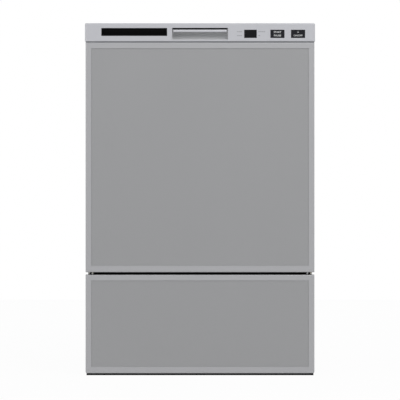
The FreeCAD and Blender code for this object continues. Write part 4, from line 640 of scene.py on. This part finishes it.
def chain(name, corners):
    """A chain of edges through points in metres, left in edit mode and all selected."""
    bare()
    bpy.ops.mesh.primitive_plane_add(size=MM, location=corners[0])
    made = named(name)
    bpy.ops.object.mode_set(mode="EDIT")
    bpy.ops.mesh.select_mode(type="VERT")
    bpy.ops.mesh.select_all(action="SELECT")
    bpy.ops.mesh.merge(type="CENTER")
    for here, there in zip(corners, corners[1:]):
        bpy.ops.mesh.extrude_vertices_move(TRANSFORM_OT_translate={"value": there - here})
    bpy.ops.mesh.select_all(action="SELECT")
    return made


def wire(name, points, radius, bend=0.0, closed=False, turns=3):
    """A round wire through points in millimetres, with bends of a given size."""
    corners = [metres(*point) for point in points]
    made = chain(name, corners + corners[:closed])
    if closed:
        bpy.ops.mesh.remove_doubles(threshold=MM / 100)
    if bend:
        bpy.ops.mesh.bevel(offset=bend * MM, segments=turns, affect="VERTICES")
    bpy.ops.object.mode_set(mode="OBJECT")
    bpy.ops.object.convert(target="CURVE")
    made.data.bevel_depth = radius * MM
    made.data.bevel_resolution = 1
    made.data.use_fill_caps = True
    bpy.ops.object.convert(target="MESH")
    return bpy.context.object


def places(low, high, count):
    """So many places from low to high."""
    return [low + (high - low) * number / (count - 1) for number in range(count)]


def ring(axis, place, low, high):
    """The four corners of a rectangle at a place on one axis."""
    (u0, v0), (u1, v1) = low, high
    pairs = ((u0, v0), (u1, v0), (u1, v1), (u0, v1))
    order = {"X": lambda u, v: (place, u, v), "Y": lambda u, v: (u, place, v),
             "Z": lambda u, v: (u, v, place)}[axis]
    return [order(u, v) for u, v in pairs]


def inner_ring(low, high, inset, y):
    """The outline of a part from the front, drawn in by so much, at a depth."""
    return ring("Y", y, (low.x + inset, low.z + inset), (high.x - inset, high.z - inset))


# %% [markdown]
# A rack is two layers of wires, bent up at both ends and welded to a thick rim and a hoop. One wire
# of each layer is bent and the others are its copies. The tines are arches, each with two legs.

# %% Both wire baskets
WIRE, RIM = 1.5, 2.2
BARS, EDGE = 12, 9
UPPER_HALF, LOWER_HALF, LOWER_HEIGHT = 186, 180, 63


def wire_basket(low, high):
    """A basket of crossing bent wires with a thicker rim, between two corners."""
    left, front, floor_z = low[0] + WIRE, low[1] + WIRE, low[2] + WIRE
    right, back, rim_z = high[0] - WIRE, high[1] - WIRE, high[2] - RIM
    across = wire("across", [(left, front, rim_z), (left, front, floor_z),
                             (right, front, floor_z), (right, front, rim_z)], WIRE, 7)
    parts = repeated(across, [(0, y - front, 0) for y in places(front + EDGE, back - EDGE, BARS)])
    along = wire("along", [(left, front, rim_z), (left, front, floor_z + WIRE),
                           (left, back, floor_z + WIRE), (left, back, rim_z)], WIRE, 7)
    parts += repeated(along, [(x - left, 0, 0) for x in places(left + EDGE, right - EDGE, BARS)])
    for z, radius in ((rim_z, RIM), ((rim_z + floor_z) / 2, WIRE)):
        parts.append(wire("hoop", ring("Z", z, (left, front), (right, back)), radius, 16,
                          closed=True, turns=5))
    return parts


def arches(start, step, height, count):
    """Round-topped tines, two legs each, on a foot wire; all in millimetres."""
    x, y, z = start
    dx, dy = step
    arch = wire("arch", [(x, y, z), (x, y, z + height), (x + dx, y + dy, z + height),
                         (x + dx, y + dy, z)], WIRE, max(abs(dx), abs(dy)) * 0.47, turns=5)
    made = repeated(arch, [(dx * 2 * place, dy * 2 * place, 0) for place in range(count)])
    length = count * 2 - 1
    made.append(wire("foot", [(x, y, z), (x + dx * length, y + dy * length, z)], WIRE))
    return made


low, high = span("upper_rack")
low.x, high.x = -UPPER_HALF, UPPER_HALF
parts = wire_basket(low, high)
for x in (-60.5, 32.5, 116.8):
    parts += arches((x, -148.5, low.z + 4), (0, 26), 42, 4)
finished(joined("upper_rack_wires", parts), "upper_rack", "coated_wire", ["upper_rack"])

low, high = span("lower_rack")
low.x, high.x, low.z = -LOWER_HALF, LOWER_HALF, high.z - LOWER_HEIGHT
parts = wire_basket(low, high)
for y in (-18.5, -96.5, 41.5):
    parts += arches((-154.5, y, low.z + 4), (26, 0), 42, 4)
finished(joined("lower_rack_wires", parts), "lower_rack", "coated_wire", ["lower_rack"])

# %% [markdown]
# The upper rack hangs from moulded hangers that run in the side rails. The lower rack stands on
# legs whose stubs carry the wheels. Each is a plain moulding, so a box with soft edges and a short
# rod are enough.

# %% Hangers and wheel legs
HANGER_SIDE, CLIP_SIDE, CLIP_HEIGHT = 184, 183.2, 541
WHEEL_PLACES, AXLE_HEIGHT = (-120, 120), 262
hanger_end = span("upper_rack")[1].x
hangers = []
for side in (-1, 1):
    for y in (-150, 110):
        plate = block("plate", (side * HANGER_SIDE, y - 9, 508), (side * hanger_end, y + 9, 545))
        rounded(plate, 1.6, 3)
        clip = wire("clip", [(side * CLIP_SIDE, y + step, CLIP_HEIGHT) for step in (-6, 6)], 3.4)
        hangers += [plate, clip]
finished(joined("upper_rack_hangers", hangers), "upper_rack", "grey_plastic")

stub_end = span("lower_rack")[1].x
legs = []
for side in (-1, 1):
    for y in WHEEL_PLACES:
        leg = block("leg", (side * 177.5, y - 6, 257.6), (side * 184, y + 6, 290))
        rounded(leg, 2.0, 3)
        axle = rod("axle", (side * LOWER_HALF, y, AXLE_HEIGHT), (side * stub_end, y, AXLE_HEIGHT),
                   2.9)
        rounded(axle, 0.6)
        legs += [leg, axle]
finished(joined("lower_rack_legs", legs), "lower_rack", "grey_plastic")

# %% [markdown]
# The cup shelf is a wire frame with cross bars that folds up on its long rod, and the folding tines
# are arches on a rod of their own. Both are bent like the racks, so that all the wire looks alike.

# %% Cup shelf and folding tines
low, high = span("cup_shelf")
left, right, front, back = low.x + 2, high.x - 2, low.y + 2, high.y - 2
z = (low.z + high.z) / 2
parts = [wire("frame", ring("Z", z, (left, front), (right, back)), 2.0, 12, closed=True, turns=5)]
bar = wire("bar", [(left, 0, z), (right, 0, z)], WIRE)
parts += repeated(bar, [(0, y, 0) for y in places(low.y + 20, high.y - 20, 10)])
parts += [wire("rail", [(x, front, z), (x, back, z)], WIRE) for x in (left + 28, left + 56)]
finished(joined("cup_shelf_wires", parts), "cup_shelf", "coated_wire", ["cup_shelf"])

low, high = span("folding_tines")
y, z = (low.y + high.y) / 2, low.z + 2
parts = arches((low.x + 8, y, z), (24, 0), high.z - z - WIRE, 4)
parts.append(wire("rod", [(low.x, y, z), (high.x, y, z)], 2.0))
finished(joined("folding_tine_wires", parts), "folding_tines", "coated_wire", ["folding_tines"])

# %% [markdown]
# Wheels, nozzles, nuts and feet are turned: half of their section is drawn as a chain of edges and
# spun round the axis. A coil spring is one small circle that a Screw modifier winds up.

# %% Turning and winding
AXES = {"X": Vector((1, 0, 0)), "Y": Vector((0, 1, 0)), "Z": Vector((0, 0, 1))}


def turned(name, centre, axis, section, steps=28):
    """Spins a section of (place along the axis, radius) corners round an axis through a point."""
    along = AXES[axis]
    out = AXES["Y" if axis == "X" else "X"]
    centre = metres(*centre)
    made = chain(name, [centre + along * place * MM + out * radius * MM
                        for place, radius in section])
    bpy.ops.mesh.spin(steps=steps, angle=math.tau, center=centre, axis=along)
    bpy.ops.mesh.select_all(action="SELECT")
    bpy.ops.mesh.remove_doubles(threshold=MM / 200)
    bpy.ops.mesh.normals_make_consistent(inside=False)
    return made


def wound(name, start, axis, radius, thickness, pitch, turns, steps=18, corners=8):
    """A coil of round wire, wound along an axis from a point."""
    bare()
    bpy.ops.mesh.primitive_circle_add(vertices=corners, radius=thickness * MM,
                                      location=(radius * MM, 0, 0), rotation=(math.pi / 2, 0, 0))
    made = named(name)
    modifier(made, "SCREW", angle=math.tau, screw_offset=pitch * MM, iterations=turns,
             steps=steps, render_steps=steps, axis="Z")
    made.rotation_euler = AXES[axis].to_track_quat("Z", "Y").to_euler()
    made.location = metres(*start)
    return named(name)


# %% [markdown]
# A wheel of the lower rack has a hub, a thin web and a tyre. Its whole section is turned at once,
# and the other wheel of a pair is a copy.

# %% Wheels of the lower rack
WHEEL_WIDTH = 7
WHEEL = [(0.3, 3.1), (0, 3.5), (0, 5.6), (1.3, 6.2), (1.3, 8.4), (0.1, 8.9), (0.1, 10.3), (0.8, 11),
         (6.2, 11), (6.9, 10.3), (6.9, 8.9), (5.7, 8.4), (5.7, 6.2), (7, 5.6), (7, 3.5), (6.7, 3.1),
         (0.3, 3.1)]
for place, name in zip(WHEEL_PLACES, ("front", "rear")):
    node = "rack_wheels_" + name
    low, high = span(node)
    pair = [turned("wheel", (high.x - WHEEL_WIDTH, place, (low.z + high.z) / 2), "X", WHEEL)]
    pair += copied(pair[0], (low.x - high.x + WHEEL_WIDTH, 0, 0))
    finished(joined("wheels_" + name, pair), node, "white_plastic", [node])

# %% [markdown]
# A spray arm is two moulded shells welded along a thin seam. Each blade is a box whose far end is
# squeezed smaller, with generous rounding. The nozzles are small turned cones, each with a well.

# %% Spray arms


ARM_HEIGHT, SEAM_LOW, SEAM_HIGH, HUB_REACH = 11.4, 4.6, 5.8, 8
NOZZLE = [(-2.4, 4.6), (-0.4, 4.4), (1.0, 2.9), (1.0, 1.9), (-1.2, 1.5), (-1.2, 0)]
HUB = [(0, 17.4), (0, 23.4), (1.6, 25), (9, 25), (11.6, 22.6), (11.6, 17.6), (15, 16.4), (16, 15),
       (16, 12.7), (0.2, 12.7), (0, 17.4)]


def blade(name, y, bottom, top, inner, outer, root, tip, soft):
    """A tapered blade with rounded edges from inner to outer along X, in millimetres."""
    made = block(name, (inner, y - root, bottom), (outer, y + root, top))
    edit(made, "FACE", lambda c, n: abs(c.x - outer) < 0.01)
    centre = metres(outer, y, bottom + (top - bottom) * 0.4)
    bpy.ops.transform.resize(value=(1, tip / root, 0.72), center_override=centre)
    return rounded(made, soft, 4)


def spray_arm(name, nozzles):
    """A whole spray arm in the place of its node."""
    low, high = span(name)
    middle, reach = (low.y + high.y) / 2, high.x
    parts = []
    for side in (-1, 1):
        parts.append(blade("blade", middle, low.z, low.z + ARM_HEIGHT, side * HUB_REACH,
                           side * (reach - 1), 16, 10, 4.2))
        parts.append(blade("seam", middle, low.z + SEAM_LOW, low.z + SEAM_HIGH,
                           side * HUB_REACH, side * reach, 17, 11, 0.4))
        for share in nozzles:
            x = side * (24 + (reach - 34) * share)
            y = middle + 4 * (-1) ** int(share * 10)
            z = low.z + 11.2 - 2.7 * share
            parts.append(turned("nozzle", (x, y, z), "Z", NOZZLE, 14))
    hub = [(place, min(radius, (high.y - low.y) / 2)) for place, radius in HUB]
    parts.append(turned("hub", (0, middle, low.z), "Z", hub, 40))
    finished(joined(name + "_blades", parts), name, "grey_plastic", [name])


spray_arm("lower_spray_arm", (0.0, 0.24, 0.5, 0.76, 1.0))
spray_arm("upper_spray_arm", (0.05, 0.35, 0.66, 1.0))

# %% [markdown]
# The door's springs hook onto posts in the base and onto the hinge arms, as close turns with an open
# loop at each end. The coils ride on no body, so they stay where they are when the door drops.

# %% Door springs
SPRING_WIRE, SPRING_PITCH, HOOK_ROOM = 0.95, 2.6, 12
low, high = span("door_springs")
middle_y = (low.y + high.y) / 2
radius = (high.y - low.y) / 2 - 1
centre_x = high.x - radius - 1
turn_low = low.z + HOOK_ROOM
turns = int((high.z - HOOK_ROOM - turn_low) / SPRING_PITCH)
springs = [wound("coil", (centre_x, middle_y, turn_low), "Z", radius, SPRING_WIRE, SPRING_PITCH,
                 turns)]
for end, way in ((turn_low, -1), (turn_low + turns * SPRING_PITCH, 1)):
    hook = [(centre_x + radius, middle_y, end), (centre_x + radius * 0.2, middle_y, end + way * 3),
            (centre_x, middle_y - 4, end + way * 6), (centre_x, middle_y - 3, end + way * 10.5),
            (centre_x, middle_y + 3, end + way * 10.5), (centre_x, middle_y + 4, end + way * 5)]
    springs.append(wire("hook", hook, SPRING_WIRE, 1.6))
right = joined("door_spring_coils", springs)
left = copied(right, (-2 * centre_x, 0, 0))
coils = finished(joined("door_spring_coils", [right] + left), None, "zinc_steel", ["door_springs"])
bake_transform(coils)

# %% [markdown]
# A screw head is a short cylinder with a soft upper edge and a cross cut into it. One is made for
# each place on the machine and the others are copies.

# %% Screws


def screw_head(name, centre, radius, height, hexagon):
    """A screw head on a face, its top towards +Y, with a cross recess."""
    x, y, z = centre
    top = y + height
    head = rod(name, (x, y, z), (x, top, z), radius * (0.92 if hexagon else 1),
               6 if hexagon else 28)
    edit(head, "EDGE", lambda c, d: abs(c.y - top) < 0.01)
    bpy.ops.mesh.bevel(offset=height * 0.4 * MM, segments=1 if hexagon else 4, affect="EDGES")
    arm, slot = radius * 0.55, radius * 0.13
    for wide, tall in ((arm, slot), (slot, arm)):
        cutter = block("cutter", (x - wide, y + height * 0.35, z - tall),
                       (x + wide, top + 1, z + tall))
        modifier(head, "BOOLEAN", object=cutter, operation="DIFFERENCE", solver="EXACT")
        bpy.data.objects.remove(cutter)
    if hexagon:
        washer = turned("washer", (x, y, z), "Y", [(0, 0), (0, radius), (height * 0.3, radius),
                                                   (height * 0.34, 0)])
        head = joined(name, [head, washer])
    return head


def screw_rows(name, body, radius, shares, proud=0, hexagon=False):
    """Two upright rows of heads in the place of a node, at these shares of its height."""
    low, high = span(name + "s")
    width, rise = high.x - low.x - 2 * radius, high.z - low.z - 2 * radius
    heads = [screw_head(name, (low.x + radius, low.y, low.z + radius), radius,
                        high.y - low.y + proud, hexagon)]
    heads += copied(heads[0], *[(across, 0, rise * share) for across in (0, width)
                                for share in shares if across or share])
    finished(joined(name + "_heads", heads), body, "zinc_steel", [name + "s"])


screw_rows("door_screw", "door", 2.2, (0, 0.25, 0.5, 0.75, 1))
screw_rows("case_screw", "case", 3.5, (0, 0.3125, 0.6875, 1), 0.9, True)

# %% [markdown]
# Sheet steel is stiffened by beads, long soft ridges that a press rolls into it. A bead is a bent
# rod squeezed nearly flat, half of it sunk in the sheet.

# %% Pressed beads


BEAD_SUNK = 0.2


def bead(points, axis, width, height, bend=0, closed=False):
    """A soft ridge along points, that stands this high along one axis."""
    made = whole(wire("bead", points, width / 2, bend, closed, turns=6))
    squeeze = [1.0, 1.0, 1.0]
    squeeze["XYZ".index(axis)] = height / (width / 2)
    bpy.ops.transform.resize(value=squeeze, center_override=metres(*points[0]))
    return made


def ring_bead(axis, place, low, high, width, height, bend):
    """A ridge round a rectangle at a place on one axis."""
    return bead(ring(axis, place, low, high), axis, width, height, bend, True)


beads = []
face = span("right_side_panel")[1].x - BEAD_SUNK
for low_z, high_z in ((72, 226), (262, 430), (466, 634)):
    middle_z = (low_z + high_z) / 2
    beads.append(ring_bead("X", face, (-206, low_z), (238, high_z), 13, 1.4, 34))
    beads.append(bead([(face, -150, middle_z), (face, 182, middle_z)], "X", 13, 1.4))
right = joined("right_side_beads", beads)
left = mirrored("left_side_beads", right)
finished(right, "case", "case_steel")
finished(left, "case", "case_steel")

face = span("top_cover")[1].z - BEAD_SUNK
beads = [ring_bead("Z", face, (-188, -222), (188, 252), 14, 1.5, 38)]
beads += [bead([(side * 140, -174, face), (-side * 140, 204, face)], "Z", 14, 1.5)
          for side in (-1, 1)]
finished(joined("top_beads", beads), "case", "case_steel")

face = span("back_cover")[1].y - BEAD_SUNK
beads = [ring_bead("Y", face, (-60, 160), (186, 610), 13, 1.5, 30)]
beads += [bead([(-20, face, z), (146, face, z)], "Y", 13, 1.5) for z in (272, 385, 498)]
finished(joined("back_beads", beads), "case", "case_steel")

# %% [markdown]
# The finger bar hangs by a web from a rod behind the fascia. The bar wears a lighter copy of the
# fascia silver, painted light, and the web is black, painted shade that makes the slot over the bar
# look deep. One mesh could carry two finishes, but two pieces are simpler to dress: a bar with soft
# edges, and a dark web with its rod and tail.

# %% Handle lever
HALF_BAR, BAR_HEIGHT, BAR_DEPTH = 52, 4.6, 4
low, high = span("handle_lever")
bar = rounded(block("handle_bar", (-HALF_BAR, low.y, low.z),
                    (HALF_BAR, low.y + BAR_DEPTH, low.z + BAR_HEIGHT)), 0.8, 4)
finished(dished(bar, 1, 0.8, -0.7), "handle_lever", "bar_painted_light_silver", ["handle_lever"])

# The web, rod and tail are black: painted shade for the deep slot over the bar.
pivot_y, pivot_z = low.y + 8.4, high.z - 1.8
web = [block("web", (-HALF_BAR, low.y + 3.6, low.z + 0.8), (HALF_BAR, low.y + 6, high.z)),
       block("bridge", (-HALF_BAR, low.y + 5.6, pivot_z - 0.9), (HALF_BAR, pivot_y, high.z)),
       block("tail", (-4, pivot_y, pivot_z - 2.2), (4, high.y, pivot_z))]
web = [rounded(part, 0.5, 2) for part in web]
web.append(rounded(rod("rod", (low.x, pivot_y, pivot_z), (high.x, pivot_y, pivot_z), 1.8), 0.4))
finished(joined("handle_web_painted_shade", web), "handle_lever", "black_plastic")

# %% [markdown]
# Under the bar is a scooped space for the fingers, moulded with thin end walls. Its section is a
# chain of edges: flat outside, a quarter circle inside. The section is filled to a face and drawn
# out along the front, which keeps the curve exact. Two ears behind it hold the latch.

# %% Hand scoop


def drawn_out(name, outline, left, right):
    """A closed outline of (y, z) corners, filled and drawn out along X; all in millimetres."""
    made = chain(name, [metres(left, y, z) for y, z in outline])
    bpy.ops.mesh.edge_face_add()
    bpy.ops.mesh.extrude_region_move(TRANSFORM_OT_translate={"value": metres(right - left, 0, 0)})
    return made


SCOOP_DEPTH, SCOOP_CURVE = 18.7, 15.2
low, high = span("handle_cup")
face, back, top_z = low.y + 0.1, low.y + SCOOP_DEPTH, high.z - 2.9
curve_y, curve_z = face + 1.0, low.z + 15.6
arc = [(curve_y + SCOOP_CURVE * math.cos(turn), curve_z - SCOOP_CURVE * math.sin(turn))
       for turn in (math.radians(9 * step) for step in range(11))]
outline = [(face, low.z + 0.1), (back, low.z + 0.1), (back, top_z), (back - 2.1, top_z)] + arc
outline.append((face, low.z + 0.5))
end_x = high.x - 0.1
walls = [drawn_out("scoop", outline, -end_x, end_x)]
for side in (-1, 1):
    walls.append(rounded(block("end", (side * (end_x - 0.45), face, low.z + 0.1),
                               (side * end_x, back, top_z)), 0.1, 1))
    walls.append(rounded(block("ear", (side * 5.5, back - 1, high.z - 11.5),
                               (side * 8.5, high.y, high.z)), 0.5))
# The scoop wears the lighter silver, painted light against the shade in its hollow.
finished(joined("handle_scoop", walls), "door", "scoop_painted_light_silver", ["handle_cup"])

# %% [markdown]
# Below the door a folded black sheet fills the gap to the base: a dark sheet put where there is
# only shade, so it is painted shade. It is drawn out like the scoop, from the outline of a bent
# strip.

# %% Apron under the door: a sheet of painted shade
FRAME_DEPTH, APRON_AIR, APRON_HEIGHT, APRON_FOLD, APRON_HALF = 19, 0.6, 15, 9, 190
front, top_z = body_low.y + FRAME_DEPTH, span("door_frame")[0].z - APRON_AIR
painted_shade_apron = drawn_out("painted_shade_apron", [(front, top_z - APRON_HEIGHT), (front + 1, top_z - APRON_HEIGHT),
                            (front + 1, top_z - 1), (front + APRON_FOLD, top_z - 1),
                            (front + APRON_FOLD, top_z), (front, top_z)], -APRON_HALF, APRON_HALF)
finished(rounded(painted_shade_apron, 0.3), "case", "black_plastic")

# %% [markdown]
# Between the fascia and the door frame runs a shallow groove. Its floor is a strip of the same
# silver sheet, set back a little, in a darker copy of the silver: painted shade for the shadow in
# the groove. A box gives the strip, and an inset pushed inwards gives it the fold lines of bent
# sheet.

# %% Strip in the groove
frame_low, frame_high = span("door_frame")
fascia_low_z = span("control_fascia")[0].z
strip = block("groove_strip", (frame_low.x + 0.3, body_low.y + 1.9, frame_high.z - 0.6),
              (frame_high.x - 0.3, body_low.y + 6, fascia_low_z + 0.6))
finished(rounded(dished(strip, -1, 1.0, 0.3), 0.25), "door", "groove_painted_shade_silver")

# %% [markdown]
# Each key is a moulded cap with soft edges and a dished face, on a lip that keeps it behind the
# fascia. Its words are a text object, given a little depth and made a mesh, because print on a key
# is a thin raised layer of paint. The dish comes from an inset that is pushed back.

# %% Keys
KEY_LIP = 1.3
PEN = 0.24


def lettering(words, centre, height):
    """Thin raised letters that face the front, their capitals this high in millimetres."""
    bare()
    bpy.ops.object.text_add()
    letters = bpy.context.object
    letters.data.body = words
    letters.data.align_x = "CENTER"
    letters.data.size = height / 0.7 * MM
    letters.data.extrude = 0.05 * MM
    letters.data.offset = 0.07 * MM
    letters.data.resolution_u = 3
    bpy.ops.object.convert(target="MESH")
    letters = bpy.context.object
    letters.rotation_euler = (math.radians(90), 0, 0)
    x, y, z = centre
    letters.location = metres(x, y, z - height / 2)
    take(letters)
    return named("row")


def key_cap(node):
    """The cap of a key in the place of its node; gives the piece and the middle of its dish."""
    low, high = span(node)
    cap = block("cap", (low.x + KEY_LIP, low.y, low.z + KEY_LIP),
                (high.x - KEY_LIP, high.y, high.z - KEY_LIP))
    rounded(dished(cap, -1, 1.9, 0.4), 0.7, 3)
    lip = rounded(block("lip", (low.x, low.y + 2.8, low.z), (high.x, low.y + 3.8, high.z)), 0.3)
    middle = (low + high) / 2
    finished(joined(node + "_cap", [cap, lip]), node, "key_plastic", [node])
    return middle.x, low.y + 0.36, middle.z


x, y, z = key_cap("start_key")
words = [lettering("START", (x, y, z + 3.5), 3.5), lettering("PAUSE", (x, y, z - 3.1), 3.5)]
finished(joined("start_key_words", words), "start_key", "white_plastic")

x, y, z = key_cap("power_key")
circle = [(x + 1.5 * math.sin(turn), y, z + 3.3 + 1.5 * math.cos(turn))
          for turn in (math.radians(35 + 29 * step) for step in range(11))]
words = [wire("circle", circle, PEN), wire("stroke", [(x, y, z + 3.6), (x, y, z + 5.4)], PEN),
         lettering("ON/OFF", (x, y, z - 3.1), 3.3)]
finished(joined("power_key_words", words), "power_key", "white_plastic")

# %% [markdown]
# The door seal is a soft rubber bulb round the mouth of the tub, on a flat foot that sits on the
# flange. Both follow the same rounded rectangle, so they are bent like wire: a thick one for the
# bulb, a squeezed one for the foot, and a thin lip inside.

# %% Door seal
low, high = span("door_gasket")
middle_y = (low.y + high.y) / 2
loops = [wire("loop", inner_ring(low, high, inset, y), radius, 20 - inset, closed=True, turns=6)
         for inset, radius, y in ((4.2, 2.9, middle_y), (1.4, 1.2, high.y - 1.6))]
foot = bead(inner_ring(low, high, 4, high.y - 0.9), "Y", 7.6, 0.9, 16, True)
finished(joined("door_gasket_bulb", loops + [foot]), "case", "seal_rubber", ["door_gasket"])

# %% [markdown]
# Long soft beads also stiffen the tub's walls and the door's liner. They are drawn like those of
# the case, on the inner faces.

# %% Beads in the tub and on the liner
TUB_BACK, TUB_WALL, LINER_FACE = 253.4, 2.1, -250.0
wall_x = span("wash_tub")[1].x - TUB_WALL
right = joined("tub_side_beads", [ring_bead("X", wall_x, (-196, low_z), (214, high_z), 9, 1.3, 20)
                                  for low_z, high_z in ((300, 466), (556, 626))])
left = mirrored("tub_left_beads", right)
back = ring_bead("Y", TUB_BACK, (-150, 290), (150, 600), 10, 1.4, 34)
finished(joined("tub_beads", [right, left, back]), "case", "stainless")

beads = [ring_bead("Y", LINER_FACE, (-172, 246), (172, 640), 10, 1.2, 30)]
beads += [bead([(-128, LINER_FACE, z), (128, LINER_FACE, z)], "Y", 10, 1.2)
          for z in (290, 336, 528, 574)]
finished(joined("liner_beads", beads), "door", "stainless_cross")

# %% [markdown]
# The dispenser's face has a raised frame, a sliding lid with ribs for the thumb, and a turned cap
# over the rinse aid. These stand on flat faces, so a squeezed wire, small boxes and a turned cap
# are enough, and the parts behind stay as they are packed.

# %% Dispenser
PLATE_FACE, CAP_X = -248.5, 40
CAP = [(-0.4, 16), (0.8, 16), (1.4, 15.2), (1.4, 14.2), (3.0, 14), (3.9, 13), (3.9, 10.6),
       (2.9, 9.8), (2.9, 0), (-0.4, 0), (-0.4, 16)]
low, high = span("dispenser_cup")
edging = bead(inner_ring(low, high, 2.2, PLATE_FACE), "Y", 4, 1.1, 5, True)
finished(joined("dispenser_frame", [edging]), "door", "grey_plastic")
cap_z = (low.z + high.z) / 2
cap = turned("cap", (CAP_X, PLATE_FACE, cap_z), "Y", CAP, 40)
grip = block("grip", (CAP_X - 9.2, PLATE_FACE + 2.4, cap_z - 2),
             (CAP_X + 9.2, PLATE_FACE + 4.4, cap_z + 2))
finished(joined("rinse_cap", [cap, rounded(grip, 0.9, 3)]), "door", "blue_plastic")

low, high = span("dispenser_lid")
ribs = [rounded(block("rib", (low.x + 5, high.y - 1.2, z - 0.9),
                      (low.x + 27, high.y - 0.1, z + 0.9)), 0.5, 3)
        for z in places(low.z + 26, high.z - 26, 7)]
finished(joined("dispenser_lid_ribs", ribs), "dispenser_lid", "grey_plastic")

# %% [markdown]
# The cutlery basket is a moulded lattice. A box without its lid is cut into small squares, and a
# Wireframe modifier turns each edge into a bar. Two inner walls, a rim and a handle are added.

# %% Cutlery basket


def lattice(name, low, high, cuts, lidless=False):
    """A box of thin bars, that can go without its top."""
    made = block(name, low, high)
    if lidless:
        edit(made, "FACE", lambda c, n: n.z > 0.9)
        bpy.ops.mesh.delete(type="FACE")
    whole(made)
    bpy.ops.mesh.select_mode(type="EDGE")
    bpy.ops.mesh.select_all(action="SELECT")
    bpy.ops.mesh.subdivide(number_cuts=cuts)
    modifier(made, "WIREFRAME", thickness=1.7 * MM, offset=-1.0, use_boundary=True,
             use_even_offset=True)
    return made


low, high = span("cutlery_basket")
parts = [lattice("shell", low, high, 8, True)]
width = (high.x - low.x) / 3
parts += [lattice("wall", (x - 0.9, low.y + 2, low.z + 2), (x + 0.9, high.y - 2, high.z - 4), 5)
          for x in (low.x + width, low.x + 2 * width)]
rim_z, middle_y = high.z - 2, (low.y + high.y) / 2
parts.append(wire("rim", ring("Z", rim_z, (low.x + 2, low.y + 2), (high.x - 2, high.y - 2)), 2, 6,
                  closed=True))
handle = ring("Y", middle_y, (low.x + 2.4, rim_z), (high.x - 2.4, rim_z + 20))
parts.append(wire("handle", [handle[place] for place in (0, 3, 2, 1)], 2.2, 16, turns=6))
finished(joined("cutlery_basket_lattice", parts), "lower_rack", "grey_plastic", ["cutlery_basket"])

# %% [markdown]
# A levelling foot is a plastic pad on a threaded stem, with a hexagon for the spanner. The pad is
# turned, the hexagon is a six-sided cylinder, and the thread is a wound coil.

# %% Levelling feet
PAD = [(0.6, 0), (0.6, 9), (0, 10), (0, 14), (1, 15), (4.6, 15), (6.4, 13), (7, 9), (7, 0)]
for node in ("foot_front_left", "foot_front_right", "foot_rear_left", "foot_rear_right"):
    low, high = span(node)
    x, y = (low.x + high.x) / 2, (low.y + high.y) / 2
    pad = turned("pad", (x, y, low.z), "Z", PAD, 32)
    nut = rounded(rod("nut", (x, y, low.z + 6.8), (x, y, low.z + 12), 9, 6), 0.6)
    stem = rounded(rod("stem", (x, y, low.z + 11), (x, y, high.z), 4.4), 0.6)
    thread = wound("thread", (x, y, low.z + 12.6), "Z", 4.4, 0.6, 1.75, 11, corners=6)
    finished(joined(node + "_turned", [pad, nut, stem, thread]), node, "foot_plastic", [node])

# %% [markdown]
# Behind, the water hose screws onto a threaded neck, the drain hose pushes over barbs, and the
# mains lead goes through a gland. Each gets the detail that its plain solid lacks.

# %% Rear connections
low, high = span("inlet_valve")
inlet_x, inlet_z = (low.x + high.x) / 2, low.z + 16
thread = wound("inlet_thread", (inlet_x, 288, inlet_z), "Y", 10.3, 0.6, 1.9, 5, steps=30, corners=6)
finished(thread, "case", "grey_plastic")

GLAND_X, GLAND_FACE = 60, 291
gland_end, gland_z = span("terminal_box")[1].y, inlet_z
nut = rounded(rod("nut", (GLAND_X, 286.4, gland_z), (GLAND_X, 291.4, gland_z), 12, 6), 0.7)
dome = turned("dome", (GLAND_X, 0, gland_z), "Y",
              [(GLAND_FACE, 5.2), (GLAND_FACE, 10.6), (293.4, 10.4), (gland_end, 9.1),
               (gland_end + 0.9, 7.4), (gland_end + 0.9, 5.2), (GLAND_FACE, 5.2)], 32)
ribs = []
for number in range(12):
    around = math.tau * number / 12
    x, z = GLAND_X + 10.5 * math.cos(around), gland_z + 10.5 * math.sin(around)
    ribs.append(rounded(rod("rib", (x, 291.2, z), (x, 294.2, z), 0.7, 8), 0.2))
finished(joined("cable_gland", [nut, dome] + ribs), "case", "black_plastic")

DRAIN_X, DRAIN_Z = -97, 90
BARBS = [(286.4, 8.8), (286.4, 12), (288.2, 12), (288.2, 9.3), (290.6, 10.4), (293, 9.3),
         (293.1, 10.4), (296, 9.3), (296.1, 10.4), (299.4, 9.2), (299.4, 8.8), (286.4, 8.8)]
barbs = turned("drain_barbs", (DRAIN_X, 0, DRAIN_Z), "Y", BARBS, 32)
finished(barbs, "case", "pump_plastic")

# %% [markdown]
# The floor is a plain pale sheet. The camera sees it nearly as white as the room, and it keeps the
# soft shadow of the machine.

# %% Floor
FLOOR_GLOW = 0.96
bpy.ops.object.select_all(action="DESELECT")
bpy.ops.mesh.primitive_plane_add(size=6, location=(0, 0, body_low.z * MM))
floor = bpy.context.object
floor.name = floor.data.name = "floor"
pale = Finish("pale_floor", (0.74, 0.74, 0.74), 0.9)
glow = pale.add("Emission", values={"Color": (1, 1, 1, 1), "Strength": 1.0})
mix = pale.add("MixShader", values={0: pale.rays("Camera", "Glossy") * FLOOR_GLOW,
                                    1: Wire(pale, pale.shader.outputs[0]), 2: glow})
pale.feed(pale.tree.nodes["Material Output"].inputs["Surface"], mix)
floor.data.materials.append(pale.material)

# %% Print the box of the imported model
print("CAD box", cad_box)
